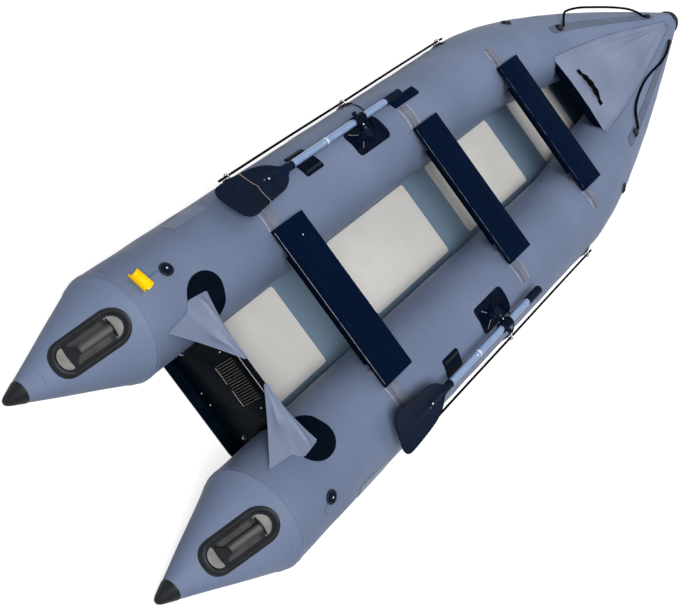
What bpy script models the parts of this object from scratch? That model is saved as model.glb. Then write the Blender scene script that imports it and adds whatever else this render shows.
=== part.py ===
"""Inflatable kayak with a transom: two side tubes joined at a pointed bow, air floor, three bench seats,
two stowed oars. Lengths are metres. +Y runs to the bow, +X to starboard, and the ground is z 0."""
import math

import bmesh
import bpy
import numpy as np
from mathutils import Matrix, Vector

# Hull
OVERALL_LENGTH = 4.30
TUBE_RADIUS = 0.1995
TUBE_CENTRE_X = 0.388
GROUND_LIFT = 0.012
STERN_SEAM_Y = -1.80
BOW_START_Y = 0.594
STERN_CAP_Y = -2.10
CONE_TIP_RADIUS = 0.011
CONE_TIP_SPREAD = 0.010
BOW_TIP_X = 0.002
BOW_TIP_RADIUS = 0.038
BOW_RISE = 0.226
BOW_PLAN_POWER = 1.475
BOW_TAPER_POWER = 2.2
BOW_RISE_POWER = 2.58
BOW_RINGS = 15
TUBE_SIDES = 48
SIDES = {"port": -1, "starboard": 1}

# Clearances
FIT_GAP = 0.0003
SOFT_GAP = 0.0009
WELD_DISTANCE = 0.00001
OVERRUN = 0.004

# Bottom skin and air floor
SKIN_THICKNESS = 0.006
BILGE_RADIUS = 0.0533
FLAT_HALF_WIDTH = 0.1988
SKIN_START_Y = -1.565
SKIN_END_SHARE = 0.93
BOTTOM_RISE_START_SHARE = 0.26
KEEL_RISE = 0.30
KEEL_POWER = 2.2
PLAN_POWER = 1.6
SEAM_ANGLE = 43.0
BOW_SEAM_ANGLE = 20.0
FLOOR_THICKNESS = 0.0912
FLOOR_END_SHARE = 0.63
PAD_RELIEF = 0.0025
PAD_HALF_WIDTH = 0.178
PAD_EDGE = 0.002
FLOOR_PADS = ((-1.505, -1.022), (-0.655, -0.070), (0.119, 0.697), (0.915, 1.290))
FLOOR_SIDE_ANGLES = (18.0, 36.0, 54.0, 72.0, 90.0, 108.0, 126.0, 144.0, 162.0)

# Transom and motor pad
TRANSOM_THICKNESS = 0.030
TRANSOM_BOTTOM_Y = -1.530
TRANSOM_DROP = 0.039
TRANSOM_RAKE = 0.096
TRANSOM_SHOULDER_ANGLE = 135.0
TRANSOM_SHOULDER = 0.014
MOTOR_PAD_WIDTH = 0.172
MOTOR_PAD_HEIGHT = 0.134
MOTOR_PAD_DROP = 0.014
MOTOR_PAD_THICKNESS = 0.006
MOTOR_PAD_RIB = 0.003
MOTOR_PAD_RIBS = 17

# Splash flaps
FLAP_THICKNESS = 0.003
FLAP_APEX_Y = -1.527
FLAP_APEX_ANGLE = -23.5
FLAP_AFT_Y = -1.740
FLAP_AFT_ANGLE = -35.0
FLAP_TIP_X = 0.052
FLAP_TIP_RISE = 0.010
FLAP_STEPS = 8

# Bow deck, its handle, nose cap and cone caps
DECK_THICKNESS = 0.003
DECK_START_Y = 1.060
DECK_END_SHARE = 0.93
DECK_EDGE_ANGLE = -31.0
DECK_BOW_EDGE_ANGLE = -20.5
DECK_FLANGE = 0.022
DECK_CROWN = 0.010
DECK_HANDLE_Y = 1.125
DECK_HANDLE_SPAN = 0.200
DECK_HANDLE_RISE = 0.034
DECK_HANDLE_WIDTH = 0.022
DECK_HANDLE_THICKNESS = 0.0035
DECK_HANDLE_STEPS = 12
NOSE_WALL = 0.006
NOSE_START_Y = 2.094
NOSE_FRONT_ROUND = 0.014
CONE_CAP_PROUD = 0.0012

# Seats and their rails
SEAT_CENTRES_Y = (-1.070, -0.098, 0.641)
SEAT_END_INSET = 0.048
SEAT_WIDTH = 0.1765
SEAT_THICKNESS = 0.016
SEAT_CORNER = 0.010
RAIL_SHIFT = 0.062
RAIL_WIDTH = 0.062
RAIL_BASE = 0.003
RAIL_FIN_HEIGHT = 0.008
RAIL_FIN_WIDTH = 0.005
RAIL_INBOARD_STEPS = 5
RAIL_OUTBOARD_STEPS = 2
GROOVE_TOP_GAP = 0.0012
SIDE_BOARD_Y = -0.092
SIDE_BOARD_ANGLE = 22.8
SIDE_BOARD_LENGTH = 0.186
SIDE_BOARD_WIDTH = 0.044
SIDE_BOARD_THICKNESS = 0.010

# Oars and oarlocks
OAR_OFFSET = 0.103
OAR_RISE = 0.041
OAR_PIVOT_Y = -0.469
SHAFT_RADIUS = 0.015
SHAFT_AFT_Y = -0.912
SHAFT_FORE_Y = -0.277
JOINT_RING_Y = -0.695
JOINT_RING_LENGTH = 0.014
JOINT_RING_PROUD = 0.0018
GRIP_RADIUS = 0.018
GRIP_END_Y = -0.165
GRIP_ROUND = 0.006
BLADE_NECK_RADIUS = 0.017
BLADE_SHOULDER_Y = -1.042
BLADE_TIP_Y = -1.292
BLADE_HALF_WIDTH = 0.085
BLADE_TIP_ROUND = 0.022
BLADE_THICKNESS = 0.012
BLADE_TILT = 28.0
# Share of the way from the neck to the shoulder, share of the way from the neck's radius to the blade's half
# width, share of the way from the blade's half thickness to the neck's radius
BLADE_NECK_SHARES = ((0.0, 0.0, 1.0), (0.15, 0.0, 1.0), (0.35, 0.16, 0.78), (0.6, 0.48, 0.42),
                     (0.85, 0.80, 0.11), (1.0, 0.92, 0.0))
OAR_SIDES = 24
COLLAR_WALL = 0.0055
COLLAR_LENGTH = 0.062
COLLAR_EAR_RADIUS = 0.009
COLLAR_EAR_REACH = 0.031
COLLAR_KNOB_REACH = 0.036
BOSS_OFFSET = 0.039
BOSS_RADIUS = 0.021
BOSS_RISE = 0.017
PIVOT_PIN_RADIUS = 0.006
SWIVEL_RADIUS = 0.018
SWIVEL_HEIGHT = 0.034
SWIVEL_ARM_RADIUS = 0.0088
OARLOCK_PAD_Y = -0.424
OARLOCK_PAD_ANGLE = 10.8
OARLOCK_PAD_LENGTH = 0.222
OARLOCK_PAD_WIDTH = 0.114
OARLOCK_PAD_CORNER = 0.022
OARLOCK_PAD_THICKNESS = 0.0035
HOLDER_Y = -0.783
HOLDER_ANGLE = 26.8
HOLDER_LENGTH = 0.108
HOLDER_WIDTH = 0.118
HOLDER_CORNER = 0.008
HOLDER_THICKNESS = 0.0035

# Stern carry handles
HANDLE_Y = -1.926
HANDLE_LENGTH = 0.315
HANDLE_WIDTH = 0.136
HANDLE_RIM = 0.024
HANDLE_RIM_HEIGHT = 0.011
HANDLE_FLOOR = 0.0035
HANDLE_GAP = 0.0009
HANDLE_END_STEPS = 10
HANDLE_SIDE_STEPS = 5
GRIP_BAR_LENGTH = 0.175
GRIP_BAR_HEIGHT = 0.040
# Share of the bar's half length, then its half width as a share of the handle's width, then its lower and
# upper faces as shares of the bar's height
GRIP_BAR_SHARES = ((-1.0, 0.25, 0.0, 0.55), (-0.90, 0.24, 0.0, 0.93), (-0.78, 0.15, 0.42, 1.0),
                   (-0.55, 0.09, 0.55, 1.0), (0.0, 0.085, 0.58, 1.0), (0.55, 0.09, 0.55, 1.0),
                   (0.78, 0.15, 0.42, 1.0), (0.90, 0.24, 0.0, 0.93), (1.0, 0.25, 0.0, 0.55))
# Points round the bar: share of its half width, share of the way from its lower to its upper face
GRIP_SECTION_SHARES = ((1.0, 0.25), (1.0, 0.75), (0.6, 1.0), (-0.6, 1.0), (-1.0, 0.75), (-1.0, 0.25),
                       (-0.6, 0.0), (0.6, 0.0))

# Valves and the tag
VALVES = {
    "port_aft": (-1, -1.613, 15.0),
    "starboard_aft": (1, -1.615, 27.0),
    "port_bow": (-1, 0.937, 47.0),
    "starboard_bow": (1, 0.944, 45.0),
}
VALVE_RADIUS = 0.026
VALVE_HEIGHT = 0.006
VALVE_SEAT_RADIUS = 0.019
VALVE_SEAT_DEPTH = 0.003
VALVE_CAP_RADIUS = 0.0175
VALVE_CAP_HEIGHT = 0.0055
VALVE_SIDES = 24
TAG_Y = -1.708
TAG_ANGLE = 20.0
TAG_LENGTH = 0.062
TAG_CURL_RADIUS = 0.026
TAG_SWEEP = 150.0
TAG_THICKNESS = 0.0012
TAG_STRING_RADIUS = 0.0012

# Lifelines, their rings and the oarlock lanyard
RING_YS = (-1.030, -0.268, 0.512)
RING_NAMES = ("aft", "middle", "bow")
RING_ANGLE = 76.0
RING_PATCH_RADIUS = 0.036
RING_PATCH_THICKNESS = 0.0035
RING_WIRE_RADIUS = 0.0026
RING_INNER_WIDTH = 0.017
LIFELINE_RADIUS = 0.005
LIFELINE_STAND_OFF = 0.0165
LIFELINE_END = 0.045
LIFELINE_SAG_ANGLE = 2.2
LANYARD_RADIUS = 0.0022

# Bow grab lines and the strips under them
STRIP_START_Y = 1.130
STRIP_END_SHARE = 0.885
STRIP_ANGLE = 9.0
STRIP_THICKNESS = 0.0035
STRIP_WIDTH = 0.050
STRIP_BOW_WIDTH = 0.028
STRIP_STATIONS = 12
ANCHOR_LENGTH = 0.034
ANCHOR_HEIGHT = 0.017
GRAB_LINE_RADIUS = 0.006
ROPE_STEP_DIAMETERS = 3.0

# Worked out from the sizes above
HALF_LENGTH = OVERALL_LENGTH / 2
BOW_LENGTH = HALF_LENGTH - BOW_START_Y
TUBE_CENTRE_Z = GROUND_LIFT + TUBE_RADIUS
TUBE_END_Y = HALF_LENGTH - NOSE_WALL - FIT_GAP
CONE_LENGTH = STERN_SEAM_Y + HALF_LENGTH
FACET_ANGLE = 360 / TUBE_SIDES
TUBE_TOP = TUBE_CENTRE_Z + TUBE_RADIUS
TRANSOM_TOP = TUBE_TOP - TRANSOM_DROP
MOTOR_PAD_TOP = TRANSOM_TOP - MOTOR_PAD_DROP
MOTOR_PAD_BOTTOM = MOTOR_PAD_TOP - MOTOR_PAD_HEIGHT
SEAT_LENGTH = 2 * (TUBE_CENTRE_X - SEAT_END_INSET)
SEAT_UNDERSIDE = TUBE_TOP + FIT_GAP + RAIL_BASE + FIT_GAP
OAR_X = TUBE_CENTRE_X + OAR_OFFSET
OAR_Z = TUBE_TOP + OAR_RISE
BOSS_X = TUBE_CENTRE_X + BOSS_OFFSET
BOSS_TOP = TUBE_TOP + BOSS_RISE
BORE_RADIUS = SHAFT_RADIUS + FIT_GAP
COLLAR_RADIUS = BORE_RADIUS + COLLAR_WALL
SMOOTH_LIMIT = math.radians(35)

parts = bpy.data.collections.new("inflatable_kayak")
cutters = bpy.data.collections.new("cutters")


def clear_scene():
    for thing in list(bpy.data.objects):
        bpy.data.objects.remove(thing, do_unlink=True)
    for collection in (parts, cutters):
        bpy.context.scene.collection.children.link(collection)


def finish(name, colour, roughness, metallic=0.0):
    """A plain material: sRGB hex colour turned to linear, roughness and metallic."""
    material = bpy.data.materials.new(name)
    material.use_nodes = True
    shader = material.node_tree.nodes["Principled BSDF"]
    channels = [int(colour[i:i + 2], 16) / 255 for i in (0, 2, 4)]
    linear = [c / 12.92 if c <= 0.04045 else ((c + 0.055) / 1.055) ** 2.4 for c in channels]
    shader.inputs["Base Color"].default_value = (*linear, 1.0)
    shader.inputs["Roughness"].default_value = roughness
    shader.inputs["Metallic"].default_value = metallic
    return material


def mix(start, end, share):
    return start + (end - start) * share


def loft(rings, closed=False):
    """Skin a row of rings, each a list of points. A ring of one point is a pole; open ends are capped.
    A closed row joins its last ring to its first, as round a sleeve."""
    bm = bmesh.new()
    rows = [[bm.verts.new(point) for point in ring] for ring in rings]
    for first, second in zip(rows, rows[1:] + rows[:1] if closed else rows[1:]):
        count = max(len(first), len(second))
        for i in range(count):
            j = (i + 1) % count
            if len(first) == 1:
                bm.faces.new((first[0], second[i], second[j]))
            elif len(second) == 1:
                bm.faces.new((first[i], first[j], second[0]))
            else:
                bm.faces.new((first[i], first[j], second[j], second[i]))
    for row in (rows[0], rows[-1]):
        if len(row) > 2 and not closed:
            bm.faces.new(row)
    bmesh.ops.remove_doubles(bm, verts=bm.verts, dist=WELD_DISTANCE)
    bmesh.ops.recalc_face_normals(bm, faces=bm.faces)
    bmesh.ops.triangulate(bm, faces=bm.faces, quad_method="SHORT_EDGE")
    return bm


def place(name, bm, material, matrix=None, collection=parts):
    """Turn a bmesh into a named object, shaded smooth over its gentle edges."""
    mesh = bpy.data.meshes.new(name)
    bm.to_mesh(mesh)
    bm.free()
    mesh.shade_smooth()
    mesh.set_sharp_from_angle(angle=SMOOTH_LIMIT)
    thing = bpy.data.objects.new(name, mesh)
    thing.data.materials.append(material)
    if matrix is not None:
        thing.matrix_world = matrix
    collection.objects.link(thing)
    if collection is cutters:
        thing.hide_render = True
        thing.display_type = "WIRE"
    return thing


def boolean(target, tool, operation):
    modifier = target.modifiers.new(tool.name, "BOOLEAN")
    modifier.object = tool
    modifier.operation = operation
    modifier.solver = "EXACT"


def cylinder(radius, start, end, sides=24):
    """A capped cylinder between two points, as a bmesh in world space."""
    start, end = Vector(start), Vector(end)
    axis = end - start
    turn = Vector((0, 0, 1)).rotation_difference(axis).to_matrix().to_4x4()
    matrix = Matrix.Translation((start + end) / 2) @ turn
    bm = bmesh.new()
    bmesh.ops.create_cone(bm, cap_ends=True, segments=sides, radius1=radius, radius2=radius,
                          depth=axis.length, matrix=matrix)
    return bm


def box(size, matrix):
    bm = bmesh.new()
    bmesh.ops.create_cube(bm, size=1.0, matrix=matrix @ Matrix.Diagonal((*size, 1.0)))
    return bm


def catmull_rom(points, spacing):
    """Points read at an even spacing from a smooth curve through the given points."""
    points = [Vector(p) for p in points]
    padded = [points[0] * 2 - points[1], *points, points[-1] * 2 - points[-2]]
    dense = []
    for a, b, c, d in zip(padded, padded[1:], padded[2:], padded[3:]):
        for i in range(24):
            t = i / 24
            dense.append((b * 2 + (c - a) * t + (a * 2 - b * 5 + c * 4 - d) * t ** 2
                          + (b * 3 - a - c * 3 + d) * t ** 3) / 2)
    dense.append(points[-1])
    lengths = [0.0]
    for a, b in zip(dense, dense[1:]):
        lengths.append(lengths[-1] + (b - a).length)
    count = max(2, round(lengths[-1] / spacing))
    result, k = [], 0
    for i in range(count + 1):
        goal = lengths[-1] * i / count
        while k < len(lengths) - 2 and lengths[k + 1] < goal:
            k += 1
        share = (goal - lengths[k]) / (lengths[k + 1] - lengths[k])
        result.append(dense[k].lerp(dense[k + 1], min(share, 1.0)))
    return result


def rope(name, points, radius, material, collection=parts, resolution=2):
    """A round rope: a poly curve through the points with a bevel and filled caps."""
    curve = bpy.data.curves.new(name, "CURVE")
    curve.dimensions = "3D"
    curve.bevel_depth = radius
    curve.bevel_resolution = resolution
    curve.use_fill_caps = True
    spline = curve.splines.new("POLY")
    spline.points.add(len(points) - 1)
    for target, point in zip(spline.points, points):
        target.co = (*point, 1.0)
    curve.materials.append(material)
    thing = bpy.data.objects.new(name, curve)
    collection.objects.link(thing)
    return thing


def as_mesh(thing, collection=cutters):
    """A rope turned into a closed mesh object, so that it can be joined to a piece."""
    evaluated = thing.evaluated_get(bpy.context.evaluated_depsgraph_get())
    mesh = bpy.data.meshes.new_from_object(evaluated)
    bm = bmesh.new()
    bm.from_mesh(mesh)
    bmesh.ops.remove_doubles(bm, verts=bm.verts, dist=WELD_DISTANCE)
    bmesh.ops.recalc_face_normals(bm, faces=bm.faces)
    name, matrix, material = thing.name, thing.matrix_world.copy(), thing.data.materials[0]
    bpy.data.objects.remove(thing, do_unlink=True)
    return place(name, bm, material, matrix, collection)


# The side tubes

def bow_share(y):
    return (y - BOW_START_Y) / BOW_LENGTH


def bow_y(share):
    return BOW_START_Y + BOW_LENGTH * share


def smooth_station(y):
    """Centre x, centre z and radius of a side tube at y, from the driving sizes."""
    if y > BOW_START_Y:
        s = bow_share(y)
        x = BOW_TIP_X + (TUBE_CENTRE_X - BOW_TIP_X) * (1 - s ** BOW_PLAN_POWER)
        radius = BOW_TIP_RADIUS + (TUBE_RADIUS - BOW_TIP_RADIUS) * (1 - s ** BOW_TAPER_POWER)
        return x, TUBE_CENTRE_Z + BOW_RISE * s ** BOW_RISE_POWER, radius
    if y < STERN_SEAM_Y:
        s = (STERN_SEAM_Y - y) / CONE_LENGTH
        radius = mix(TUBE_RADIUS, CONE_TIP_RADIUS, s)
        return TUBE_CENTRE_X + CONE_TIP_SPREAD * s, GROUND_LIFT + radius, radius
    return TUBE_CENTRE_X, TUBE_CENTRE_Z, TUBE_RADIUS


BOW_RING_YS = [mix(BOW_START_Y, TUBE_END_Y, i / BOW_RINGS) for i in range(BOW_RINGS + 1)]
TUBE_RING_YS = [STERN_CAP_Y, STERN_SEAM_Y, *BOW_RING_YS]


def between_rings(function, y):
    """The value at y of a function that returns an array, straight between the bow's rings."""
    if y <= BOW_START_Y or y >= TUBE_END_Y:
        return function(y)
    step = (TUBE_END_Y - BOW_START_Y) / BOW_RINGS
    k = min(int((y - BOW_START_Y) / step), BOW_RINGS - 1)
    return mix(function(BOW_RING_YS[k]), function(BOW_RING_YS[k + 1]), (y - BOW_RING_YS[k]) / step)


def tube_station(y):
    """Centre x, centre z and radius on the faceted tube."""
    return between_rings(lambda at: np.array(smooth_station(at)), y)


def on_tube(side, y, angle, height=0.0):
    """A point on a side tube, its angle in degrees from straight up towards outboard."""
    x, z, radius = tube_station(y)
    turn = math.radians(angle)
    return Vector((side * (x + (radius + height) * math.sin(turn)), y, z + (radius + height) * math.cos(turn)))


def tube_frame(side, y, angle, height=0.0):
    """A matrix at a point of the tube: local X round the tube, Y along it, Z straight out."""
    out = (on_tube(side, y, angle, TUBE_RADIUS) - on_tube(side, y, angle)).normalized()
    along = (on_tube(side, y + WELD_DISTANCE, angle) - on_tube(side, y - WELD_DISTANCE, angle)).normalized()
    out = (out - along * out.dot(along)).normalized()
    across = along.cross(out)
    matrix = Matrix((across, along, out)).transposed().to_4x4()
    matrix.translation = on_tube(side, y, angle, height)
    return matrix


def side_tube(side, name, material):
    rings = [[on_tube(side, y, k * FACET_ANGLE) for k in range(TUBE_SIDES)] for y in TUBE_RING_YS]
    bm = loft(rings)
    cut = bmesh.ops.bisect_plane(bm, geom=bm.verts[:] + bm.edges[:] + bm.faces[:], dist=WELD_DISTANCE,
                                 plane_co=(side * FIT_GAP / 2, 0, 0), plane_no=(side, 0, 0), clear_inner=True)
    edges = [e for e in cut["geom_cut"] if isinstance(e, bmesh.types.BMEdge)]
    bmesh.ops.holes_fill(bm, edges=edges)
    bmesh.ops.recalc_face_normals(bm, faces=bm.faces)
    return place(name, bm, material)


# Bottom skin and air floor

def rise_share(y):
    """0 where the flat bottom starts to lift towards the bow, 1 where the skin ends."""
    start, end = bow_y(BOTTOM_RISE_START_SHARE), bow_y(SKIN_END_SHARE)
    return min(max((y - start) / (end - start), 0.0), 1.0)


def keel_height(y):
    return KEEL_RISE * rise_share(y) ** KEEL_POWER


def flat_half_width(y):
    return FLAT_HALF_WIDTH * (1 - rise_share(y) ** PLAN_POWER) + SKIN_THICKNESS * rise_share(y)


def bilge_radius(y):
    return mix(BILGE_RADIUS, SKIN_THICKNESS * 1.6, rise_share(y) ** 0.5)


def seam_angle(y):
    share = min(max(bow_share(y) / BOTTOM_RISE_START_SHARE, 0.0), 1.6) / 1.6
    return 180 + mix(SEAM_ANGLE, BOW_SEAM_ANGLE, share)


def skin_half(y, inset):
    """Half a section of the skin from the keel out to its seam on the tube. An inset gives the inner face."""
    flat, keel, radius = flat_half_width(y), keel_height(y), bilge_radius(y)
    points = [(0.0, keel + inset)]
    for turn in (0.0, 30.0, 60.0, 80.0):
        angle = math.radians(turn)
        points.append((flat + (radius - inset) * math.sin(angle),
                       keel + radius - (radius - inset) * math.cos(angle)))
    tube_radius = tube_station(y)[2]
    seam = on_tube(1, y, seam_angle(y) + math.degrees(inset / tube_radius), SOFT_GAP)
    points.append((seam.x, seam.z))
    return np.array(points)


def skin_inside(y):
    return between_rings(lambda at: skin_half(at, SKIN_THICKNESS), y)


def bottom_skin(material):
    ys = [SKIN_START_Y, BOW_START_Y] + [y for y in BOW_RING_YS[1:] if y < bow_y(SKIN_END_SHARE)]
    rings = []
    for y in ys:
        outer, inner = skin_half(y, 0.0), skin_half(y, SKIN_THICKNESS)
        half = [*outer, *inner[::-1]]
        mirror = [(-x, z) for x, z in [*inner[1:], *outer[:0:-1]]]
        rings.append([(x, y, z) for x, z in half + mirror])
    return place("bottom_skin", loft(rings), material)


def inner_limit(y, z):
    """How far out a floor point at height z may go before it meets the skin or the tube."""
    inner = skin_inside(y)
    limit = TUBE_CENTRE_X
    for (x0, z0), (x1, z1) in zip(inner[1:], inner[2:]):
        if min(z0, z1) <= z <= max(z0, z1) and z1 != z0:
            limit = min(limit, mix(x0, x1, (z - z0) / (z1 - z0)))
    x, centre, radius = tube_station(y)
    reach = (radius + SOFT_GAP) ** 2 - (z - centre) ** 2
    if reach > 0:
        limit = min(limit, x - math.sqrt(reach))
    return limit - SOFT_GAP


def floor_ring(y, half_width, relief):
    """One section of the air floor: crowned pad strip on top, round sides, flat bottom."""
    inner = skin_inside(y)
    bottom = inner[0][1] + FIT_GAP
    radius = FLOOR_THICKNESS / 2
    top = bottom + FLOOR_THICKNESS
    flat = min(max(half_width - radius, PAD_EDGE * 3), inner_limit(y, top + relief))
    pad = min(PAD_HALF_WIDTH, flat - PAD_EDGE)
    half = [(pad - PAD_EDGE, top + relief), (pad, top), (flat, top)]
    for turn in FLOOR_SIDE_ANGLES:
        angle = math.radians(turn)
        z = bottom + radius + radius * math.cos(angle)
        half.append((min(flat + radius * math.sin(angle), inner_limit(y, z)), z))
    half.append((min(flat, inner[1][0]), bottom))
    return [(x, y, z) for x, z in half] + [(-x, y, z) for x, z in half[::-1]]


def air_floor(material):
    end = max(y for y in BOW_RING_YS if y < bow_y(FLOOR_END_SHARE))
    front = bow_y(BOTTOM_RISE_START_SHARE)
    start = TRANSOM_BOTTOM_Y + TRANSOM_THICKNESS + FIT_GAP
    ys = [(start, 0.0)]
    for a, b in FLOOR_PADS:
        ys += [(max(a, start + PAD_EDGE), 0.0), (max(a, start + PAD_EDGE) + PAD_EDGE, PAD_RELIEF),
               (b - PAD_EDGE, PAD_RELIEF), (b, 0.0)]
    for y in BOW_RING_YS:
        if front < y < end:
            covered = any(a + PAD_EDGE < y < b - PAD_EDGE for a, b in FLOOR_PADS)
            if min(abs(y - pad_y) for pad in FLOOR_PADS for pad_y in pad) > PAD_EDGE * 3:
                ys.append((y, PAD_RELIEF if covered else 0.0))
    ys.append((end, 0.0))
    full = FLAT_HALF_WIDTH + FLOOR_THICKNESS / 2
    rings = []
    for y, relief in sorted(ys):
        share = max((y - front) / (end - front), 0.0)
        rings.append(floor_ring(y, full * math.sqrt(max(1 - share ** 2.4, 0.03)), relief))
    return place("air_floor", loft(rings), material)


# Transom, motor pad and splash flaps

def rake_y(z):
    return TRANSOM_BOTTOM_Y - TRANSOM_RAKE * z


def transom(material):
    """A plank that fills the space between the tubes, from the skin up, with its top raked aft."""
    bottom = SKIN_THICKNESS + FIT_GAP
    radius = BILGE_RADIUS - SKIN_THICKNESS - FIT_GAP
    half = [(FLAT_HALF_WIDTH, bottom)]
    for turn in (30.0, 60.0):
        angle = math.radians(turn)
        half.append((FLAT_HALF_WIDTH + radius * math.sin(angle), bottom + radius * (1 - math.cos(angle))))
    first = math.ceil((SEAM_ANGLE + math.degrees(SKIN_THICKNESS / TUBE_RADIUS)) / FACET_ANGLE) * FACET_ANGLE
    steps = int((TRANSOM_SHOULDER_ANGLE - first) / FACET_ANGLE)
    for k in range(steps + 1):
        point = on_tube(1, 0.0, -(180 - first - k * FACET_ANGLE), FIT_GAP)
        half.append((point.x, point.z))
    half.append((half[-1][0] - TRANSOM_SHOULDER, TRANSOM_TOP))
    outline = half + [(-x, z) for x, z in half[::-1]]
    rings = [[(x, rake_y(z) + shift, z) for x, z in outline] for shift in (0.0, TRANSOM_THICKNESS)]
    return place("transom", loft(rings), material)


def motor_pad(material):
    """A ribbed plate on the transom's aft face: the comb outline is carried up the rake."""
    pitch = MOTOR_PAD_WIDTH / MOTOR_PAD_RIBS
    comb = [(-MOTOR_PAD_WIDTH / 2, 0.0)]
    for k in range(MOTOR_PAD_RIBS):
        x = -MOTOR_PAD_WIDTH / 2 + k * pitch
        comb += [(x + pitch * share, MOTOR_PAD_THICKNESS + MOTOR_PAD_RIB * rise)
                 for share, rise in ((0.2, 0), (0.38, 1), (0.62, 1), (0.8, 0))]
    comb.append((MOTOR_PAD_WIDTH / 2, 0.0))
    rings = [[(x, rake_y(z) - FIT_GAP - depth, z) for x, depth in comb]
             for z in (MOTOR_PAD_BOTTOM, MOTOR_PAD_TOP)]
    return place("motor_pad", loft(rings), material)


def splash_flap(side, name, material):
    """A three-cornered sheet from the tube's shoulder to the top of the transom."""
    lift = FIT_GAP * 2
    tip_y = rake_y(TRANSOM_TOP) + TRANSOM_THICKNESS / 2
    tip = Vector((side * FLAP_TIP_X, tip_y, TRANSOM_TOP + FLAP_TIP_RISE))
    rings = []
    for k in range(FLAP_STEPS + 1):
        share = k / FLAP_STEPS
        lower, upper = [], []
        for j in range(5):
            angle = mix(FLAP_APEX_ANGLE, FLAP_AFT_ANGLE, j / 4)
            y = mix(FLAP_APEX_Y, FLAP_AFT_Y, j / 4)
            edge = on_tube(side, y, angle, lift)
            spread = Vector((0, (0.5 - j / 4) * FLAP_THICKNESS * 2, 0))
            point = edge.lerp(tip + spread, share)
            lower.append(point)
            upper.append(point + Vector((0, 0, FLAP_THICKNESS)))
        rings.append(upper + lower[::-1])
    return place(name, loft(rings), material)


# Bow deck, its handle, nose and cone caps

def deck_edge_angle(y):
    share = min(max((y - DECK_START_Y) / (BOW_LENGTH / 3), 0.0), 1.0)
    return mix(DECK_EDGE_ANGLE, DECK_BOW_EDGE_ANGLE, share)


def deck_half(y, height):
    """Half a deck section from the centre line to its bonded edge on the tube."""
    radius = tube_station(y)[2]
    edge = deck_edge_angle(y)
    flange = on_tube(1, y, edge - math.degrees(DECK_FLANGE / radius), SOFT_GAP)
    rim = on_tube(1, y, edge, SOFT_GAP)
    middle = on_tube(1, y, edge - math.degrees(DECK_FLANGE / 2 / radius), SOFT_GAP)
    half = [(0.0, flange.z + DECK_CROWN * flange.x / TUBE_RADIUS),
            (flange.x / 2, flange.z + DECK_CROWN * flange.x / TUBE_RADIUS * 0.75)]
    half += [(p.x, p.z) for p in (flange, middle, rim)]
    return [(x, z + height) for x, z in half]


def bow_deck(material):
    end = bow_y(DECK_END_SHARE)
    rings = []
    for y in [DECK_START_Y] + [y for y in BOW_RING_YS if DECK_START_Y < y < end] + [end]:
        top, bottom = deck_half(y, DECK_THICKNESS), deck_half(y, 0.0)
        right = top + bottom[::-1]
        left = [(-x, z) for x, z in bottom[1:] + top[:0:-1]]
        rings.append([(x, y, z) for x, z in right + left])
    return place("bow_deck", loft(rings), material)


def deck_handle(material):
    """A webbing strap arched over the deck, its ends lying on the fabric."""
    rings = []
    deck = deck_half(DECK_HANDLE_Y, DECK_THICKNESS)
    aft, fore = DECK_HANDLE_Y - DECK_HANDLE_WIDTH / 2, DECK_HANDLE_Y + DECK_HANDLE_WIDTH / 2
    for k in range(DECK_HANDLE_STEPS + 1):
        share = 2 * k / DECK_HANDLE_STEPS - 1
        x = share * DECK_HANDLE_SPAN / 2
        (x0, z0), (x1, z1) = (deck[0], deck[1]) if abs(x) < deck[1][0] else (deck[1], deck[2])
        level = mix(z0, z1, (abs(x) - x0) / (x1 - x0)) + SOFT_GAP
        rise = DECK_HANDLE_RISE * max(0.0, 1 - (abs(share) / 0.8) ** 3)
        low, high = level + rise, level + rise + DECK_HANDLE_THICKNESS
        rings.append([(x, aft, low), (x, fore, low), (x, fore, high), (x, aft, high)])
    return place("deck_handle", loft(rings), material)


def nose_ring(y, height, reach=1.0):
    """A ring round both tube ends: two half circles joined by flats."""
    x, z, radius = smooth_station(min(y, TUBE_END_Y))
    points = []
    for side in (1, -1):
        for k in range(13):
            turn = math.radians(k * 15 if side > 0 else 180 + k * 15)
            points.append((side * x * reach + (radius + height) * reach * math.sin(turn), y,
                           z + (radius + height) * reach * math.cos(turn)))
    return points


def nose_cap(material):
    """A rubber shell over the two tube ends, open towards the stern."""
    front = HALF_LENGTH
    inside = TUBE_END_Y + FIT_GAP
    z = smooth_station(TUBE_END_Y)[1]
    wall = NOSE_WALL + SOFT_GAP
    rings = [[(0, inside, z)], nose_ring(inside, SOFT_GAP), nose_ring(NOSE_START_Y, SOFT_GAP),
             nose_ring(NOSE_START_Y, wall), nose_ring(front - NOSE_FRONT_ROUND, wall),
             nose_ring(front - NOSE_FRONT_ROUND * 0.35, wall, 0.93), nose_ring(front, wall, 0.72),
             [(0, front, z)]]
    return place("nose_cap", loft(rings), material)


def cone_cap(side, name, material):
    """The moulded rubber plug that ends a stern cone."""
    rings = []
    start = STERN_CAP_Y - FIT_GAP
    for y, proud in ((start, CONE_CAP_PROUD), (start - CONE_CAP_PROUD, CONE_CAP_PROUD),
                     (mix(start, -HALF_LENGTH, 0.6), CONE_CAP_PROUD), (mix(start, -HALF_LENGTH, 0.92), 0.0)):
        rings.append([on_tube(side, y, k * FACET_ANGLE * 2, proud) for k in range(TUBE_SIDES // 2)])
    rings.append([on_tube(side, -HALF_LENGTH, k * FACET_ANGLE * 2, -CONE_TIP_RADIUS * 0.5)
                  for k in range(TUBE_SIDES // 2)])
    return place(name, loft(rings), material)


# Seats

def rail_y(seat_y):
    return seat_y - RAIL_SHIFT


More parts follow.
